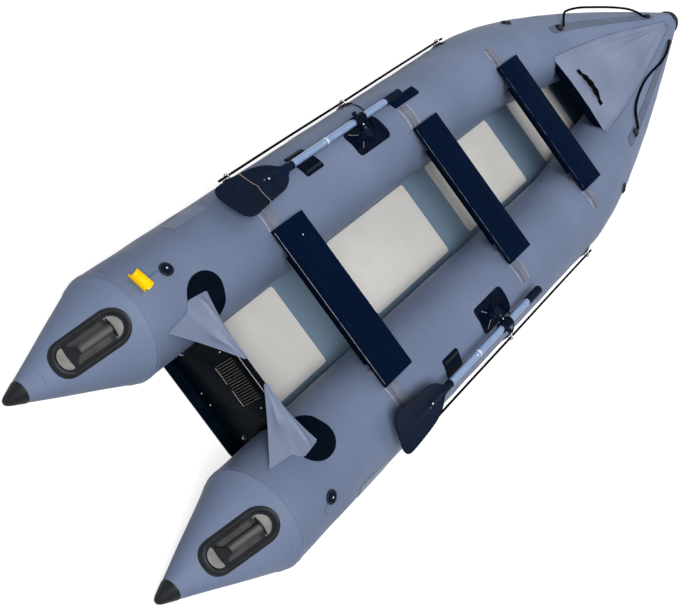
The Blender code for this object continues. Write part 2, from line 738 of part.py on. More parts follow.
def seat_rail(side, name, seat_y, material):
    """A strip bonded round the tube's shoulder with a standing fin, following the tube's own facets."""
    y = rail_y(seat_y)
    w, f = RAIL_WIDTH / 2, RAIL_FIN_WIDTH / 2
    top = RAIL_BASE + RAIL_FIN_HEIGHT
    profile = ((-w, 0), (w, 0), (w, RAIL_BASE), (f, RAIL_BASE), (f, top), (-f, top), (-f, RAIL_BASE),
               (-w, RAIL_BASE))
    rings = []
    for k in range(-RAIL_INBOARD_STEPS, RAIL_OUTBOARD_STEPS + 1):
        rings.append([on_tube(side, y + dy, k * FACET_ANGLE, FIT_GAP + h) for dy, h in profile])
    return place(name, loft(rings), material)


def seat(name, seat_y, material):
    """A bench board with chamfered corners and a groove underneath that rides on the rails' fins."""
    w = SEAT_WIDTH / 2
    groove = rail_y(seat_y) - seat_y
    g = RAIL_FIN_WIDTH / 2 + FIT_GAP
    depth = RAIL_FIN_HEIGHT + GROOVE_TOP_GAP
    z0, z1 = SEAT_UNDERSIDE, SEAT_UNDERSIDE + SEAT_THICKNESS
    rings = []
    half = SEAT_LENGTH / 2
    for x, inset in ((-half, SEAT_CORNER), (-half + SEAT_CORNER, 0), (half - SEAT_CORNER, 0),
                     (half, SEAT_CORNER)):
        outline = ((-w + inset, z0), (groove - g, z0), (groove - g, z0 + depth), (groove + g, z0 + depth),
                   (groove + g, z0), (w - inset, z0), (w - inset, z1), (-w + inset, z1))
        rings.append([(x, seat_y + dy, z) for dy, z in outline])
    return place(name, loft(rings), material)


def side_board(material):
    frame = tube_frame(-1, SIDE_BOARD_Y, SIDE_BOARD_ANGLE, FIT_GAP + SIDE_BOARD_THICKNESS / 2)
    size = (SIDE_BOARD_WIDTH, SIDE_BOARD_LENGTH, SIDE_BOARD_THICKNESS)
    return place("port_side_board", box(size, frame), material)


# Patches bonded on the tubes

def circle_outline(radius, count):
    return [(radius * math.cos(2 * math.pi * k / count), radius * math.sin(2 * math.pi * k / count))
            for k in range(count)]


def rounded_outline(length, width, corner, length_steps, width_steps):
    """A rectangle with round corners, its sides cut in steps so that it can follow the tube."""
    a, b = length / 2 - corner, width / 2 - corner
    centres = ((a, b), (-a, b), (-a, -b), (a, -b))
    points = []
    for k, (u, v) in enumerate(centres):
        for turn in range(k * 90, k * 90 + 91, 30):
            angle = math.radians(turn)
            points.append((u + corner * math.cos(angle), v + corner * math.sin(angle)))
        following = centres[(k + 1) % 4]
        angle = math.radians(k * 90 + 90)
        steps = length_steps if k % 2 == 0 else width_steps
        for i in range(1, steps):
            points.append((mix(u, following[0], i / steps) + corner * math.cos(angle),
                           mix(v, following[1], i / steps) + corner * math.sin(angle)))
    return points


def patch(side, y, angle, outline, levels):
    """Rings of the outline laid on the tube. Each level is a share of the outline and a height."""
    radius = tube_station(y)[2]
    rings = []
    for share, height in levels:
        if share == 0:
            rings.append([on_tube(side, y, angle, height)])
        else:
            rings.append([on_tube(side, y + u * share, angle + math.degrees(v * share / radius), height)
                          for u, v in outline])
    return loft(rings)


def small_levels(thickness, edge_share):
    low, high = SOFT_GAP, SOFT_GAP + thickness
    return ((0, low), (0.5, low), (1.0, low), (1.0, mix(low, high, 0.6)), (edge_share, high), (0.5, high),
            (0, high))


def plain_levels(thickness, edge_share=0.95):
    low, high = SOFT_GAP, SOFT_GAP + thickness
    return ((0, low), (0.35, low), (0.7, low), (1.0, low), (1.0, mix(low, high, 0.6)), (edge_share, high),
            (0.65, high), (0.33, high), (0, high))


def oar_holder(side, name, material):
    outline = rounded_outline(HOLDER_LENGTH, HOLDER_WIDTH, HOLDER_CORNER, 1, 5)
    return place(name, patch(side, HOLDER_Y, HOLDER_ANGLE, outline, plain_levels(HOLDER_THICKNESS)), material)


def stern_handle(side, name, material):
    """A moulded carry handle on the cone: a raised oblong rim, a recess and a grip bar on two cheeks."""
    slope = Vector((CONE_LENGTH, 2 * (TUBE_RADIUS - CONE_TIP_RADIUS))).length / CONE_LENGTH

    def point(u, v, height):
        y = HANDLE_Y + u / slope
        return on_tube(side, y, math.degrees(v / tube_station(y)[2]), height)

    straight = (HANDLE_LENGTH - HANDLE_WIDTH) / 2

    def ring(inset, height):
        end = HANDLE_WIDTH / 2 - inset
        points = []
        for sign in (1, -1):
            for k in range(HANDLE_END_STEPS + 1):
                turn = math.pi * k / HANDLE_END_STEPS
                points.append(point(sign * (straight + end * math.sin(turn)), sign * end * math.cos(turn),
                                    height))
            for k in range(1, HANDLE_SIDE_STEPS):
                points.append(point(sign * straight * (1 - 2 * k / HANDLE_SIDE_STEPS), -sign * end, height))
        return points

    low = HANDLE_GAP
    rim, floor = low + HANDLE_RIM_HEIGHT, low + HANDLE_FLOOR
    middle = HANDLE_WIDTH / 2
    rings = [ring(middle * share, low) for share in (1.0, 0.72, 0.45, 0.22, 0.0)]
    rings += [ring(0, low + HANDLE_FLOOR), ring(HANDLE_RIM * 0.45, rim), ring(HANDLE_RIM * 0.8, rim),
              ring(HANDLE_RIM, floor), ring(middle * 0.65, floor), ring(middle, floor)]
    thing = place(name, loft(rings), material)
    bar = []
    for share, half_width, low_share, high_share in GRIP_BAR_SHARES:
        u = share * GRIP_BAR_LENGTH / 2
        bottom, top = mix(floor - HANDLE_FLOOR / 2, GRIP_BAR_HEIGHT, low_share), GRIP_BAR_HEIGHT * high_share
        v = half_width * HANDLE_WIDTH
        bar.append([point(u, v * side_share, mix(bottom, top, rise_share))
                    for side_share, rise_share in GRIP_SECTION_SHARES])
    bar = place(name + "_grip_bar", loft(bar), material, collection=cutters)
    boolean(thing, bar, "UNION")
    return thing


# Oars and oarlocks

def turned(profile, side):
    """Rings round the oar's line from (y, radius) pairs."""
    turns = [2 * math.pi * k / OAR_SIDES for k in range(OAR_SIDES)]
    return [[(side * OAR_X + radius * math.cos(turn), y, OAR_Z + radius * math.sin(turn)) for turn in turns]
            for y, radius in profile]


def oar_shaft(side, name, material):
    r, proud = SHAFT_RADIUS, SHAFT_RADIUS + JOINT_RING_PROUD
    a, b = JOINT_RING_Y - JOINT_RING_LENGTH / 2, JOINT_RING_Y + JOINT_RING_LENGTH / 2
    edge = JOINT_RING_PROUD
    profile = ((SHAFT_AFT_Y, r), (a, r), (a + edge, proud), (b - edge, proud), (b, r), (SHAFT_FORE_Y, r))
    return place(name, loft(turned(profile, side)), material)


def oar_grip(side, name, material):
    start = SHAFT_FORE_Y + FIT_GAP
    r = GRIP_RADIUS
    profile = ((start, SHAFT_RADIUS), (start, r), (GRIP_END_Y - GRIP_ROUND, r),
               (GRIP_END_Y - GRIP_ROUND * 0.3, r * 0.86), (GRIP_END_Y, r * 0.6))
    return place(name, loft(turned(profile, side)), material)


def oar_blade(side, name, material):
    """A flat scoop that grows out of a round neck: each section is an oval, turned by the blade's tilt."""
    start = SHAFT_AFT_Y - FIT_GAP
    stations = []
    for share, width_share, round_share in BLADE_NECK_SHARES:
        half_width = mix(BLADE_NECK_RADIUS, BLADE_HALF_WIDTH, width_share)
        half_thickness = mix(BLADE_THICKNESS / 2, BLADE_NECK_RADIUS, round_share)
        stations.append((mix(start, BLADE_SHOULDER_Y, share), half_width, half_thickness))
    for y, width_share in ((mix(BLADE_SHOULDER_Y, BLADE_TIP_Y, 0.25), 0.985),
                           (mix(BLADE_SHOULDER_Y, BLADE_TIP_Y, 0.6), 1.0),
                           (BLADE_TIP_Y + BLADE_TIP_ROUND, 0.99),
                           (BLADE_TIP_Y + BLADE_TIP_ROUND * 0.3, 0.94), (BLADE_TIP_Y, 0.80)):
        stations.append((y, BLADE_HALF_WIDTH * width_share, BLADE_THICKNESS / 2))
    tilt = math.radians(BLADE_TILT)
    rings = []
    for y, wide, thick in stations:
        ring = []
        for k in range(OAR_SIDES):
            turn = 2 * math.pi * k / OAR_SIDES
            u, w = wide * math.cos(turn), thick * math.sin(turn)
            ring.append((side * (OAR_X + u * math.cos(tilt) + w * math.sin(tilt)), y,
                         OAR_Z - u * math.sin(tilt) + w * math.cos(tilt)))
        rings.append(ring)
    return place(name, loft(rings), material)


def oar_collar(side, name, material):
    """A sleeve round the shaft with an ear towards the swivel and a knob outboard."""
    y0, y1 = OAR_PIVOT_Y - COLLAR_LENGTH / 2, OAR_PIVOT_Y + COLLAR_LENGTH / 2
    r, bore = COLLAR_RADIUS, BORE_RADIUS
    edge = COLLAR_WALL / 3
    profile = ((y0, bore), (y0, r - edge), (y0 + edge, r), (y1 - edge, r), (y1, r - edge), (y1, bore))
    thing = place(name, loft(turned(profile, side), closed=True), material)
    inside = BORE_RADIUS + COLLAR_WALL * 0.35
    ear = cylinder(COLLAR_EAR_RADIUS, (side * (OAR_X - COLLAR_EAR_REACH), OAR_PIVOT_Y, OAR_Z),
                   (side * (OAR_X - inside), OAR_PIVOT_Y, OAR_Z))
    knob = cylinder(COLLAR_EAR_RADIUS, (side * (OAR_X + inside), OAR_PIVOT_Y, OAR_Z),
                    (side * (OAR_X + COLLAR_KNOB_REACH), OAR_PIVOT_Y, OAR_Z))
    for label, tool in (("_ear", ear), ("_knob", knob)):
        boolean(thing, place(name + label, tool, material, collection=cutters), "UNION")
    return thing


def oarlock_swivel(side, name, material):
    """A disc that turns on the pad's pin, with an arm out to the oar's collar."""
    bottom = BOSS_TOP + FIT_GAP
    disc = cylinder(SWIVEL_RADIUS, (side * BOSS_X, OAR_PIVOT_Y, bottom),
                    (side * BOSS_X, OAR_PIVOT_Y, bottom + SWIVEL_HEIGHT))
    thing = place(name, disc, material)
    arm = cylinder(SWIVEL_ARM_RADIUS, (side * (BOSS_X + PIVOT_PIN_RADIUS * 1.5), OAR_PIVOT_Y, OAR_Z),
                   (side * (OAR_X - COLLAR_EAR_REACH - FIT_GAP), OAR_PIVOT_Y, OAR_Z))
    boolean(thing, place(name + "_arm", arm, material, collection=cutters), "UNION")
    hole = cylinder(PIVOT_PIN_RADIUS + FIT_GAP, (side * BOSS_X, OAR_PIVOT_Y, bottom - OVERRUN),
                    (side * BOSS_X, OAR_PIVOT_Y, bottom + SWIVEL_HEIGHT + OVERRUN))
    boolean(thing, place(name + "_hole", hole, material, collection=cutters), "DIFFERENCE")
    return thing


def oarlock_pad(side, name, material):
    """A rubber pad on the tube with a boss and the pin that the swivel turns on."""
    outline = rounded_outline(OARLOCK_PAD_LENGTH, OARLOCK_PAD_WIDTH, OARLOCK_PAD_CORNER, 1, 4)
    levels = plain_levels(OARLOCK_PAD_THICKNESS, 0.97)
    thing = place(name, patch(side, OARLOCK_PAD_Y, OARLOCK_PAD_ANGLE, outline, levels), material)
    middle = math.degrees(math.asin((BOSS_X - TUBE_CENTRE_X) / TUBE_RADIUS))
    foot = SOFT_GAP + OARLOCK_PAD_THICKNESS / 2
    rings = [[on_tube(side, OAR_PIVOT_Y, middle, foot)]]
    turns = [2 * math.pi * k / 24 for k in range(24)]
    for radius in (BOSS_RADIUS * 0.6, BOSS_RADIUS * 1.15):
        rings.append([on_tube(side, OAR_PIVOT_Y + radius * math.sin(t),
                              middle + math.degrees(radius * math.cos(t) / TUBE_RADIUS), foot) for t in turns])
    rings.append([(side * (BOSS_X + BOSS_RADIUS * math.cos(t)), OAR_PIVOT_Y + BOSS_RADIUS * math.sin(t),
                   BOSS_TOP) for t in turns])
    boss = loft(rings)
    pin = cylinder(PIVOT_PIN_RADIUS, (side * BOSS_X, OAR_PIVOT_Y, BOSS_TOP - OVERRUN),
                   (side * BOSS_X, OAR_PIVOT_Y, BOSS_TOP + FIT_GAP + SWIVEL_HEIGHT))
    for label, tool in (("_boss", boss), ("_pin", pin)):
        boolean(thing, place(name + label, tool, material, collection=cutters), "UNION")
    return thing


# Valves and the tag

def valve(name, side, y, angle, body_material, cap_material):
    """A round valve body with a shallow seat, and the screw cap that turns in it."""
    frame = tube_frame(side, y, angle, FIT_GAP)
    seat_z = VALVE_HEIGHT - VALVE_SEAT_DEPTH
    turns = [2 * math.pi * k / VALVE_SIDES for k in range(VALVE_SIDES)]
    rings = []
    for radius, z in ((VALVE_RADIUS, 0.0), (VALVE_RADIUS, VALVE_HEIGHT * 0.6),
                      (VALVE_RADIUS * 0.94, VALVE_HEIGHT), (VALVE_SEAT_RADIUS, VALVE_HEIGHT),
                      (VALVE_SEAT_RADIUS, seat_z)):
        rings.append([frame @ Vector((radius * math.cos(turn), radius * math.sin(turn), z)) for turn in turns])
    body = place(name + "_valve_body", loft(rings), body_material)
    start = frame @ Vector((0, 0, seat_z + FIT_GAP))
    end = frame @ Vector((0, 0, seat_z + FIT_GAP + VALVE_CAP_HEIGHT))
    cap = place(name + "_valve_cap", cylinder(VALVE_CAP_RADIUS, start, end), cap_material)
    return body, cap


def valve_tag(material):
    """A card curled on the tube and held to the port valve by its string."""
    frame = tube_frame(-1, TAG_Y, TAG_ANGLE, SOFT_GAP)
    rings = []
    for y in (-TAG_LENGTH / 2, TAG_LENGTH / 2):
        inner, outer = [], []
        for k in range(11):
            turn = math.radians(mix(-TAG_SWEEP / 2, TAG_SWEEP / 2, k / 10))
            for points, radius in ((inner, TAG_CURL_RADIUS - TAG_THICKNESS), (outer, TAG_CURL_RADIUS)):
                points.append(frame @ Vector((radius * math.sin(turn), y,
                                              TAG_CURL_RADIUS - radius * math.cos(turn))))
        rings.append(inner + outer[::-1])
    thing = place("valve_tag", loft(rings), material)
    start = frame @ Vector((0, TAG_LENGTH / 2 - TAG_STRING_RADIUS * 3, TAG_THICKNESS / 2))
    valve_side, valve_y, valve_angle = VALVES["port_aft"]
    lift = SOFT_GAP + TAG_STRING_RADIUS
    end = on_tube(valve_side, valve_y - VALVE_RADIUS - TAG_STRING_RADIUS * 2, valve_angle, lift)
    middle = on_tube(valve_side, mix(start.y, end.y, 0.5), mix(TAG_ANGLE, valve_angle, 0.5), lift + SOFT_GAP)
    route = catmull_rom([start, middle, end], TAG_STRING_RADIUS * 5)
    string = rope("valve_tag_string", route, TAG_STRING_RADIUS, material, cutters, 1)
    boolean(thing, as_mesh(string), "UNION")
    return thing


# Lifelines and grab lines

def ring_patch(side, name, y, material, lanyard_end=None):
    """A round patch with a wire ring standing on it, which the lifeline runs through."""
    outline = circle_outline(RING_PATCH_RADIUS, 16)
    levels = small_levels(RING_PATCH_THICKNESS, 0.93)
    thing = place(name, patch(side, y, RING_ANGLE, outline, levels), material)
    frame = tube_frame(side, y, RING_ANGLE)
    half = RING_INNER_WIDTH / 2 + RING_WIRE_RADIUS
    foot = SOFT_GAP + RING_PATCH_THICKNESS - RING_WIRE_RADIUS * 0.8
    top = LIFELINE_STAND_OFF + LIFELINE_RADIUS + FIT_GAP * 2 + RING_WIRE_RADIUS
    path = [frame @ Vector((-half, 0, foot)), frame @ Vector((-half, 0, top - half))]
    for k in range(1, 8):
        turn = math.pi * k / 8
        path.append(frame @ Vector((-half * math.cos(turn), 0, top - half + half * math.sin(turn))))
    path += [frame @ Vector((half, 0, top - half)), frame @ Vector((half, 0, foot))]
    boolean(thing, as_mesh(rope(name + "_wire", path, RING_WIRE_RADIUS, material, cutters, 1)), "UNION")
    if lanyard_end:
        start = on_tube(side, y, RING_ANGLE - math.degrees(RING_PATCH_RADIUS * 0.8 / TUBE_RADIUS),
                        SOFT_GAP + RING_PATCH_THICKNESS)
        end_y, end_angle = lanyard_end
        route = [start]
        for share in (0.25, 0.5, 0.75, 1.0):
            angle = mix(RING_ANGLE - math.degrees(RING_PATCH_RADIUS / TUBE_RADIUS), end_angle, share)
            route.append(on_tube(side, mix(y, end_y, share), angle, SOFT_GAP + LANYARD_RADIUS * 1.3))
        points = catmull_rom(route, LANYARD_RADIUS * 4)
        cord = rope(name + "_lanyard", points, LANYARD_RADIUS, material, cutters, 1)
        boolean(thing, as_mesh(cord), "UNION")
    return thing


def lifeline(side, name, material):
    """A rope pulled through the three rings, sagging a little between them."""
    stops = [RING_YS[0] - LIFELINE_END, RING_YS[0], mix(RING_YS[0], RING_YS[1], 0.5), RING_YS[1],
             mix(RING_YS[1], RING_YS[2], 0.5), RING_YS[2], RING_YS[2] + LIFELINE_END]
    route = [on_tube(side, y, RING_ANGLE + (LIFELINE_SAG_ANGLE if i in (2, 4) else 0.0), LIFELINE_STAND_OFF)
             for i, y in enumerate(stops)]
    points = catmull_rom(route, LIFELINE_RADIUS * 2 * ROPE_STEP_DIAMETERS)
    return rope(name, points, LIFELINE_RADIUS, material)


def grab_strip(side, name, material):
    """A tapered strip bonded along the bow, with a moulded anchor at each end for the grab line."""
    end = bow_y(STRIP_END_SHARE)
    ys = [STRIP_START_Y, STRIP_START_Y + ANCHOR_LENGTH, STRIP_START_Y + ANCHOR_LENGTH]
    heights = [ANCHOR_HEIGHT, ANCHOR_HEIGHT, STRIP_THICKNESS]
    for k in range(1, STRIP_STATIONS):
        ys.append(mix(STRIP_START_Y + ANCHOR_LENGTH, end - ANCHOR_LENGTH, k / STRIP_STATIONS))
        heights.append(STRIP_THICKNESS)
    ys += [end - ANCHOR_LENGTH, end - ANCHOR_LENGTH, end]
    heights += [STRIP_THICKNESS, ANCHOR_HEIGHT, ANCHOR_HEIGHT]
    rings = []
    for y, height in zip(ys, heights):
        share = (y - STRIP_START_Y) / (end - STRIP_START_Y)
        half = mix(STRIP_WIDTH, STRIP_BOW_WIDTH, share) / 2
        radius = tube_station(y)[2]
        top = [on_tube(side, y, STRIP_ANGLE + math.degrees(half * u / radius), SOFT_GAP + height)
               for u in (-0.9, -0.45, 0.0, 0.45, 0.9)]
        bottom = [on_tube(side, y, STRIP_ANGLE + math.degrees(half * u / radius), SOFT_GAP)
                  for u in (1.0, 0.5, 0.0, -0.5, -1.0)]
        rings.append(top + bottom)
    return place(name, loft(rings), material)


# Each point of a grab line: share of the way forward, degrees round the tube, height above it
PORT_GRAB_ROUTE = ((0.00, 9, 0.0112), (0.015, 9, 0.0112), (0.035, 12, 0.0135), (0.08, 22, 0.026),
                   (0.16, 30, 0.038), (0.30, 34, 0.042), (0.50, 34, 0.040), (0.68, 32, 0.034),
                   (0.83, 26, 0.026), (0.93, 16, 0.017), (0.965, 11, 0.0125), (0.985, 9, 0.0112),
                   (1.00, 9, 0.0112))
STARBOARD_GRAB_ROUTE = ((0.00, 9, 0.0112), (0.015, 9, 0.0112), (0.035, 6, 0.0118), (0.09, -4, 0.012),
                        (0.18, -11, 0.010), (0.32, -15, 0.009), (0.48, -15, 0.009), (0.62, -9, 0.010),
                        (0.76, 2, 0.013), (0.88, 9, 0.013), (0.965, 10, 0.0118), (0.985, 9, 0.0112),
                        (1.00, 9, 0.0112))


def grab_line(side, name, route, material):
    """A loose grab rope between the strip's anchors, along its route."""
    start = STRIP_START_Y + ANCHOR_LENGTH + GRAB_LINE_RADIUS * 0.65
    end = bow_y(STRIP_END_SHARE) - ANCHOR_LENGTH - GRAB_LINE_RADIUS * 0.7
    points = [on_tube(side, mix(start, end, share), angle, height) for share, angle, height in route]
    points = catmull_rom(points, GRAB_LINE_RADIUS * 2 * ROPE_STEP_DIAMETERS)
    return rope(name, points, GRAB_LINE_RADIUS, material)


def build():
    clear_scene()
    fabric = finish("tube_fabric", "7684A0", 0.55)
    floor_fabric = finish("floor_fabric", "A9ABAE", 0.6)
    skin_fabric = finish("bottom_fabric", "5F7587", 0.6)
    deck_fabric = finish("deck_fabric", "8A8F9C", 0.6)
    rubber = finish("black_rubber", "15181D", 0.5)
    plywood = finish("painted_transom", "0A1420", 0.45)
    navy = finish("seat_board_paint", "0A1A3A", 0.4)
    shaft_metal = finish("shaft_aluminium", "A9BCE0", 0.3, 0.6)
    plastic = finish("black_plastic", "17202F", 0.4)
    rope_fibre = finish("black_rope", "101216", 0.8)
    yellow = finish("yellow_card", "FFD400", 0.5)
    rail_fabric = finish("rail_fabric", "A8A5A8", 0.6)
    bottom_skin(skin_fabric)
    air_floor(floor_fabric)
    transom(plywood)
    motor_pad(rubber)
    bow_deck(deck_fabric)
    deck_handle(rope_fibre)
    nose_cap(rubber)
    for i, seat_y in enumerate(SEAT_CENTRES_Y, 1):
        seat(f"seat_{i}", seat_y, navy)
    side_board(navy)
    valve_tag(yellow)
    for label, (side, y, angle) in VALVES.items():
        valve(label, side, y, angle, rubber, plastic)
    for label, side in SIDES.items():
        side_tube(side, f"{label}_tube", fabric)
        splash_flap(side, f"{label}_splash_flap", fabric)
        cone_cap(side, f"{label}_cone_cap", rubber)
        stern_handle(side, f"{label}_stern_handle", rubber)
        for i, seat_y in enumerate(SEAT_CENTRES_Y, 1):
            seat_rail(side, f"{label}_seat_rail_{i}", seat_y, rail_fabric)
        oar_shaft(side, f"{label}_oar_shaft", shaft_metal)
        oar_grip(side, f"{label}_oar_grip", plastic)
        oar_blade(side, f"{label}_oar_blade", plastic)
        oar_collar(side, f"{label}_oar_collar", rubber)
        oarlock_swivel(side, f"{label}_oarlock_swivel", rubber)
        oarlock_pad(side, f"{label}_oarlock_pad", rubber)
        oar_holder(side, f"{label}_oar_holder", rubber)
        for ring_name, y in zip(RING_NAMES, RING_YS):
            lanyard = None
            if ring_name == "middle":
                lanyard = (mix(OARLOCK_PAD_Y, y, 0.35), OARLOCK_PAD_ANGLE
                           + math.degrees((OARLOCK_PAD_WIDTH / 2 + LANYARD_RADIUS * 2) / TUBE_RADIUS))
            ring_patch(side, f"{label}_{ring_name}_ring_patch", y, rubber, lanyard)
        lifeline(side, f"{label}_lifeline", rope_fibre)
        grab_strip(side, f"{label}_grab_strip", rubber)
        grab_route = PORT_GRAB_ROUTE if side < 0 else STARBOARD_GRAB_ROUTE
        grab_line(side, f"{label}_grab_line", grab_route, rope_fibre)


build()
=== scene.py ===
# %% [markdown]
# # An inflatable kayak, step by step
# The boat is two big fabric tubes that meet at a pointed bow and end in two cones at the stern. Between them
# lie an air floor, a plywood transom and three benches, with a fabric deck over the bow. The moving model is
# loaded first and fixed, and every piece below is laid on it in the same metres: +Y is the bow, +X is
# starboard, the ground is 0.

# %% Load the frame
import math

import bmesh
import bpy
import numpy as np
from mathutils import Matrix


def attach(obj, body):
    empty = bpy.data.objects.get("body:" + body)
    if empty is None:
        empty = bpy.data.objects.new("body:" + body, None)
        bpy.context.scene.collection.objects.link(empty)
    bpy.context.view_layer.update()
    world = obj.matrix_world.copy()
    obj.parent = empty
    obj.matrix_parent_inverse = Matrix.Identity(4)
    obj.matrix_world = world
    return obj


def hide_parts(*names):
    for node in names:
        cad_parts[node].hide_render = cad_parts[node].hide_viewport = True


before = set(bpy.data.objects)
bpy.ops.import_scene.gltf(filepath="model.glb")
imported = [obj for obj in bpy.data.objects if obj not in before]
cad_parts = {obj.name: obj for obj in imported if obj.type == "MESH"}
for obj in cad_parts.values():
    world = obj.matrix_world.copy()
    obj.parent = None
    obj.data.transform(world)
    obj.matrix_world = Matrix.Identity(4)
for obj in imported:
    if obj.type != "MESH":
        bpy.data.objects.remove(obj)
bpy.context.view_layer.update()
MM = 0.001
SIDES = {"port": -1, "starboard": 1}

# %% [markdown]
# ## The camera
# The photograph looks down on the stern from behind and from port, with the horizon turned well over, so the
# boat runs from the lower left to the upper right. The angles, the distance and the lens were solved once
# from the corners of the seats. The roll turns the camera's own X and Y about the line of sight.

# %% Camera
CAMERA_AZIMUTH = math.radians(-6.6014)
CAMERA_ELEVATION = math.radians(46.2306)
CAMERA_ROLL = math.radians(58.6367)
CAMERA_TARGET = np.array([0.0295, -0.8854, 0.2])
CAMERA_DISTANCE = 4.4379
CAMERA_LENS_MM = 61.88
SENSOR_MM = 36.0


def add_camera():
    """Looks along d, built from azimuth and elevation; right and up are square to d, turned by the roll."""
    flat = math.cos(CAMERA_ELEVATION)
    d = np.array([-math.sin(CAMERA_AZIMUTH) * flat, math.cos(CAMERA_AZIMUTH) * flat,
                  -math.sin(CAMERA_ELEVATION)])
    right = np.cross(d, [0.0, 0.0, 1.0])
    right /= np.linalg.norm(right)
    up = np.cross(right, d)
    turned_right = math.cos(CAMERA_ROLL) * right + math.sin(CAMERA_ROLL) * up
    turned_up = math.cos(CAMERA_ROLL) * up - math.sin(CAMERA_ROLL) * right
    eye = CAMERA_TARGET - d * CAMERA_DISTANCE
    data = bpy.data.cameras.new("camera")
    data.sensor_fit = "HORIZONTAL"
    data.sensor_width = SENSOR_MM
    data.lens = CAMERA_LENS_MM
    camera = bpy.data.objects.new("camera", data)
    bpy.context.scene.collection.objects.link(camera)
    rows = np.column_stack([turned_right, turned_up, -d, eye])
    camera.matrix_world = Matrix(rows.tolist()).to_4x4()
    bpy.context.scene.camera = camera


add_camera()
print("lens", CAMERA_LENS_MM, "mm, distance", CAMERA_DISTANCE, "m")

# %% [markdown]
# ## The shape of a side tube
# Nearly everything on this boat is glued to a tube, so one function gives any point on one: the side, the
# place along the boat, the angle round the tube from straight up towards outboard, and a height above the
# fabric. The tube is straight amidships, tapers and rises along power curves to the bow, and is a cone at the
# stern.

# %% Tube function
TUBE_RADIUS = 0.1995
TUBE_CENTRE_X = 0.388
GROUND_LIFT = 0.012
TUBE_CENTRE_Z = GROUND_LIFT + TUBE_RADIUS
TUBE_TOP = TUBE_CENTRE_Z + TUBE_RADIUS
STERN_SEAM_Y = -1.80
BOW_START_Y = 0.594
HALF_LENGTH = 2.15
STERN_CAP_Y = -2.10
CONE_TIP_RADIUS = 0.011
CONE_TIP_SPREAD = 0.010
CONE_LENGTH = STERN_SEAM_Y + HALF_LENGTH
BOW_LENGTH = HALF_LENGTH - BOW_START_Y
BOW_TIP_X = 0.002
BOW_TIP_RADIUS = 0.038
BOW_RISE = 0.226
BOW_PLAN_POWER = 1.475
BOW_TAPER_POWER = 2.2
BOW_RISE_POWER = 2.58
NOSE_WALL = 0.006
TUBE_END_Y = HALF_LENGTH - NOSE_WALL - 0.3 * MM


def station(y):
    """Centre x, centre z and radius of a tube at y: 1 - s^p along the bow, straight lines along the cone."""
    s = np.clip((np.asarray(y, float) - BOW_START_Y) / BOW_LENGTH, 0, 1)
    c = np.clip((STERN_SEAM_Y - np.asarray(y, float)) / CONE_LENGTH, 0, 1)
    x = BOW_TIP_X + (TUBE_CENTRE_X - BOW_TIP_X) * (1 - s ** BOW_PLAN_POWER) + CONE_TIP_SPREAD * c
    radius = BOW_TIP_RADIUS + (TUBE_RADIUS - BOW_TIP_RADIUS) * (1 - s ** BOW_TAPER_POWER)
    radius = radius - (TUBE_RADIUS - CONE_TIP_RADIUS) * c
    z = TUBE_CENTRE_Z + BOW_RISE * s ** BOW_RISE_POWER - (TUBE_RADIUS - CONE_TIP_RADIUS) * c
    return x, z, radius


def on_tube(side, y, angle, height=0.0):
    """Points (..., 3) on a tube: centre plus (radius + height) times the sine and cosine of the angle."""
    y, angle, height = np.broadcast_arrays(np.asarray(y, float), np.radians(angle), height)
    x, z, radius = station(y)
    reach = radius + height
    return np.stack([side * (x + reach * np.sin(angle)), y, z + reach * np.cos(angle)], axis=-1)


def tube_axes(side, y, angle):
    """Unit vectors at one point of a tube: round it, along it and straight out of it."""
    along = on_tube(side, y + MM, angle) - on_tube(side, y - MM, angle)
    along /= np.linalg.norm(along)
    out = on_tube(side, y, angle, 1.0) - on_tube(side, y, angle)
    out = out - along * (out @ along)
    out /= np.linalg.norm(out)
    return np.cross(along, out), along, out


print("tube radius at the bow tip", round(float(station(TUBE_END_Y)[2]), 4))

# %% [markdown]
# ## Meshes from arrays
# A piece is an array of rings. Each ring is joined to the next with quads, and the first and last are capped
# or, if all their points meet, merged to a pole. A second array gives the texture coordinates in real metres,
# so that a weave keeps its thread spacing on every piece.

# %% Loft
POLE_MERGE = 0.00001
SMOOTH_LIMIT = math.radians(38)


def lay_uv(mesh, faces_uv):
    """Stores one (u, v) pair for each face corner."""
    layer = mesh.uv_layers.new(name="uv")
    layer.data.foreach_set("uv", np.asarray(faces_uv, np.float32).ravel())


def piece(name, mesh, material, body="hull", slot=None, replaces=()):
    """Links a finished mesh as an object with its material, hangs it under its body and hides what it
    replaces.
    """
    mesh.materials.append(material)
    thing = bpy.data.objects.new(name, mesh)
    bpy.context.scene.collection.objects.link(thing)
    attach(thing, body)
    if replaces:
        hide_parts(*([replaces] if isinstance(replaces, str) else replaces))
    return thing


def close_up(mesh):
    """Merges doubled points, turns the faces outward and shades the gentle edges smooth."""
    bm = bmesh.new()
    bm.from_mesh(mesh)
    bmesh.ops.remove_doubles(bm, verts=bm.verts, dist=POLE_MERGE)
    bmesh.ops.recalc_face_normals(bm, faces=bm.faces)
    bm.to_mesh(mesh)
    bm.free()
    mesh.shade_smooth()
    mesh.set_sharp_from_angle(angle=SMOOTH_LIMIT)
    return mesh


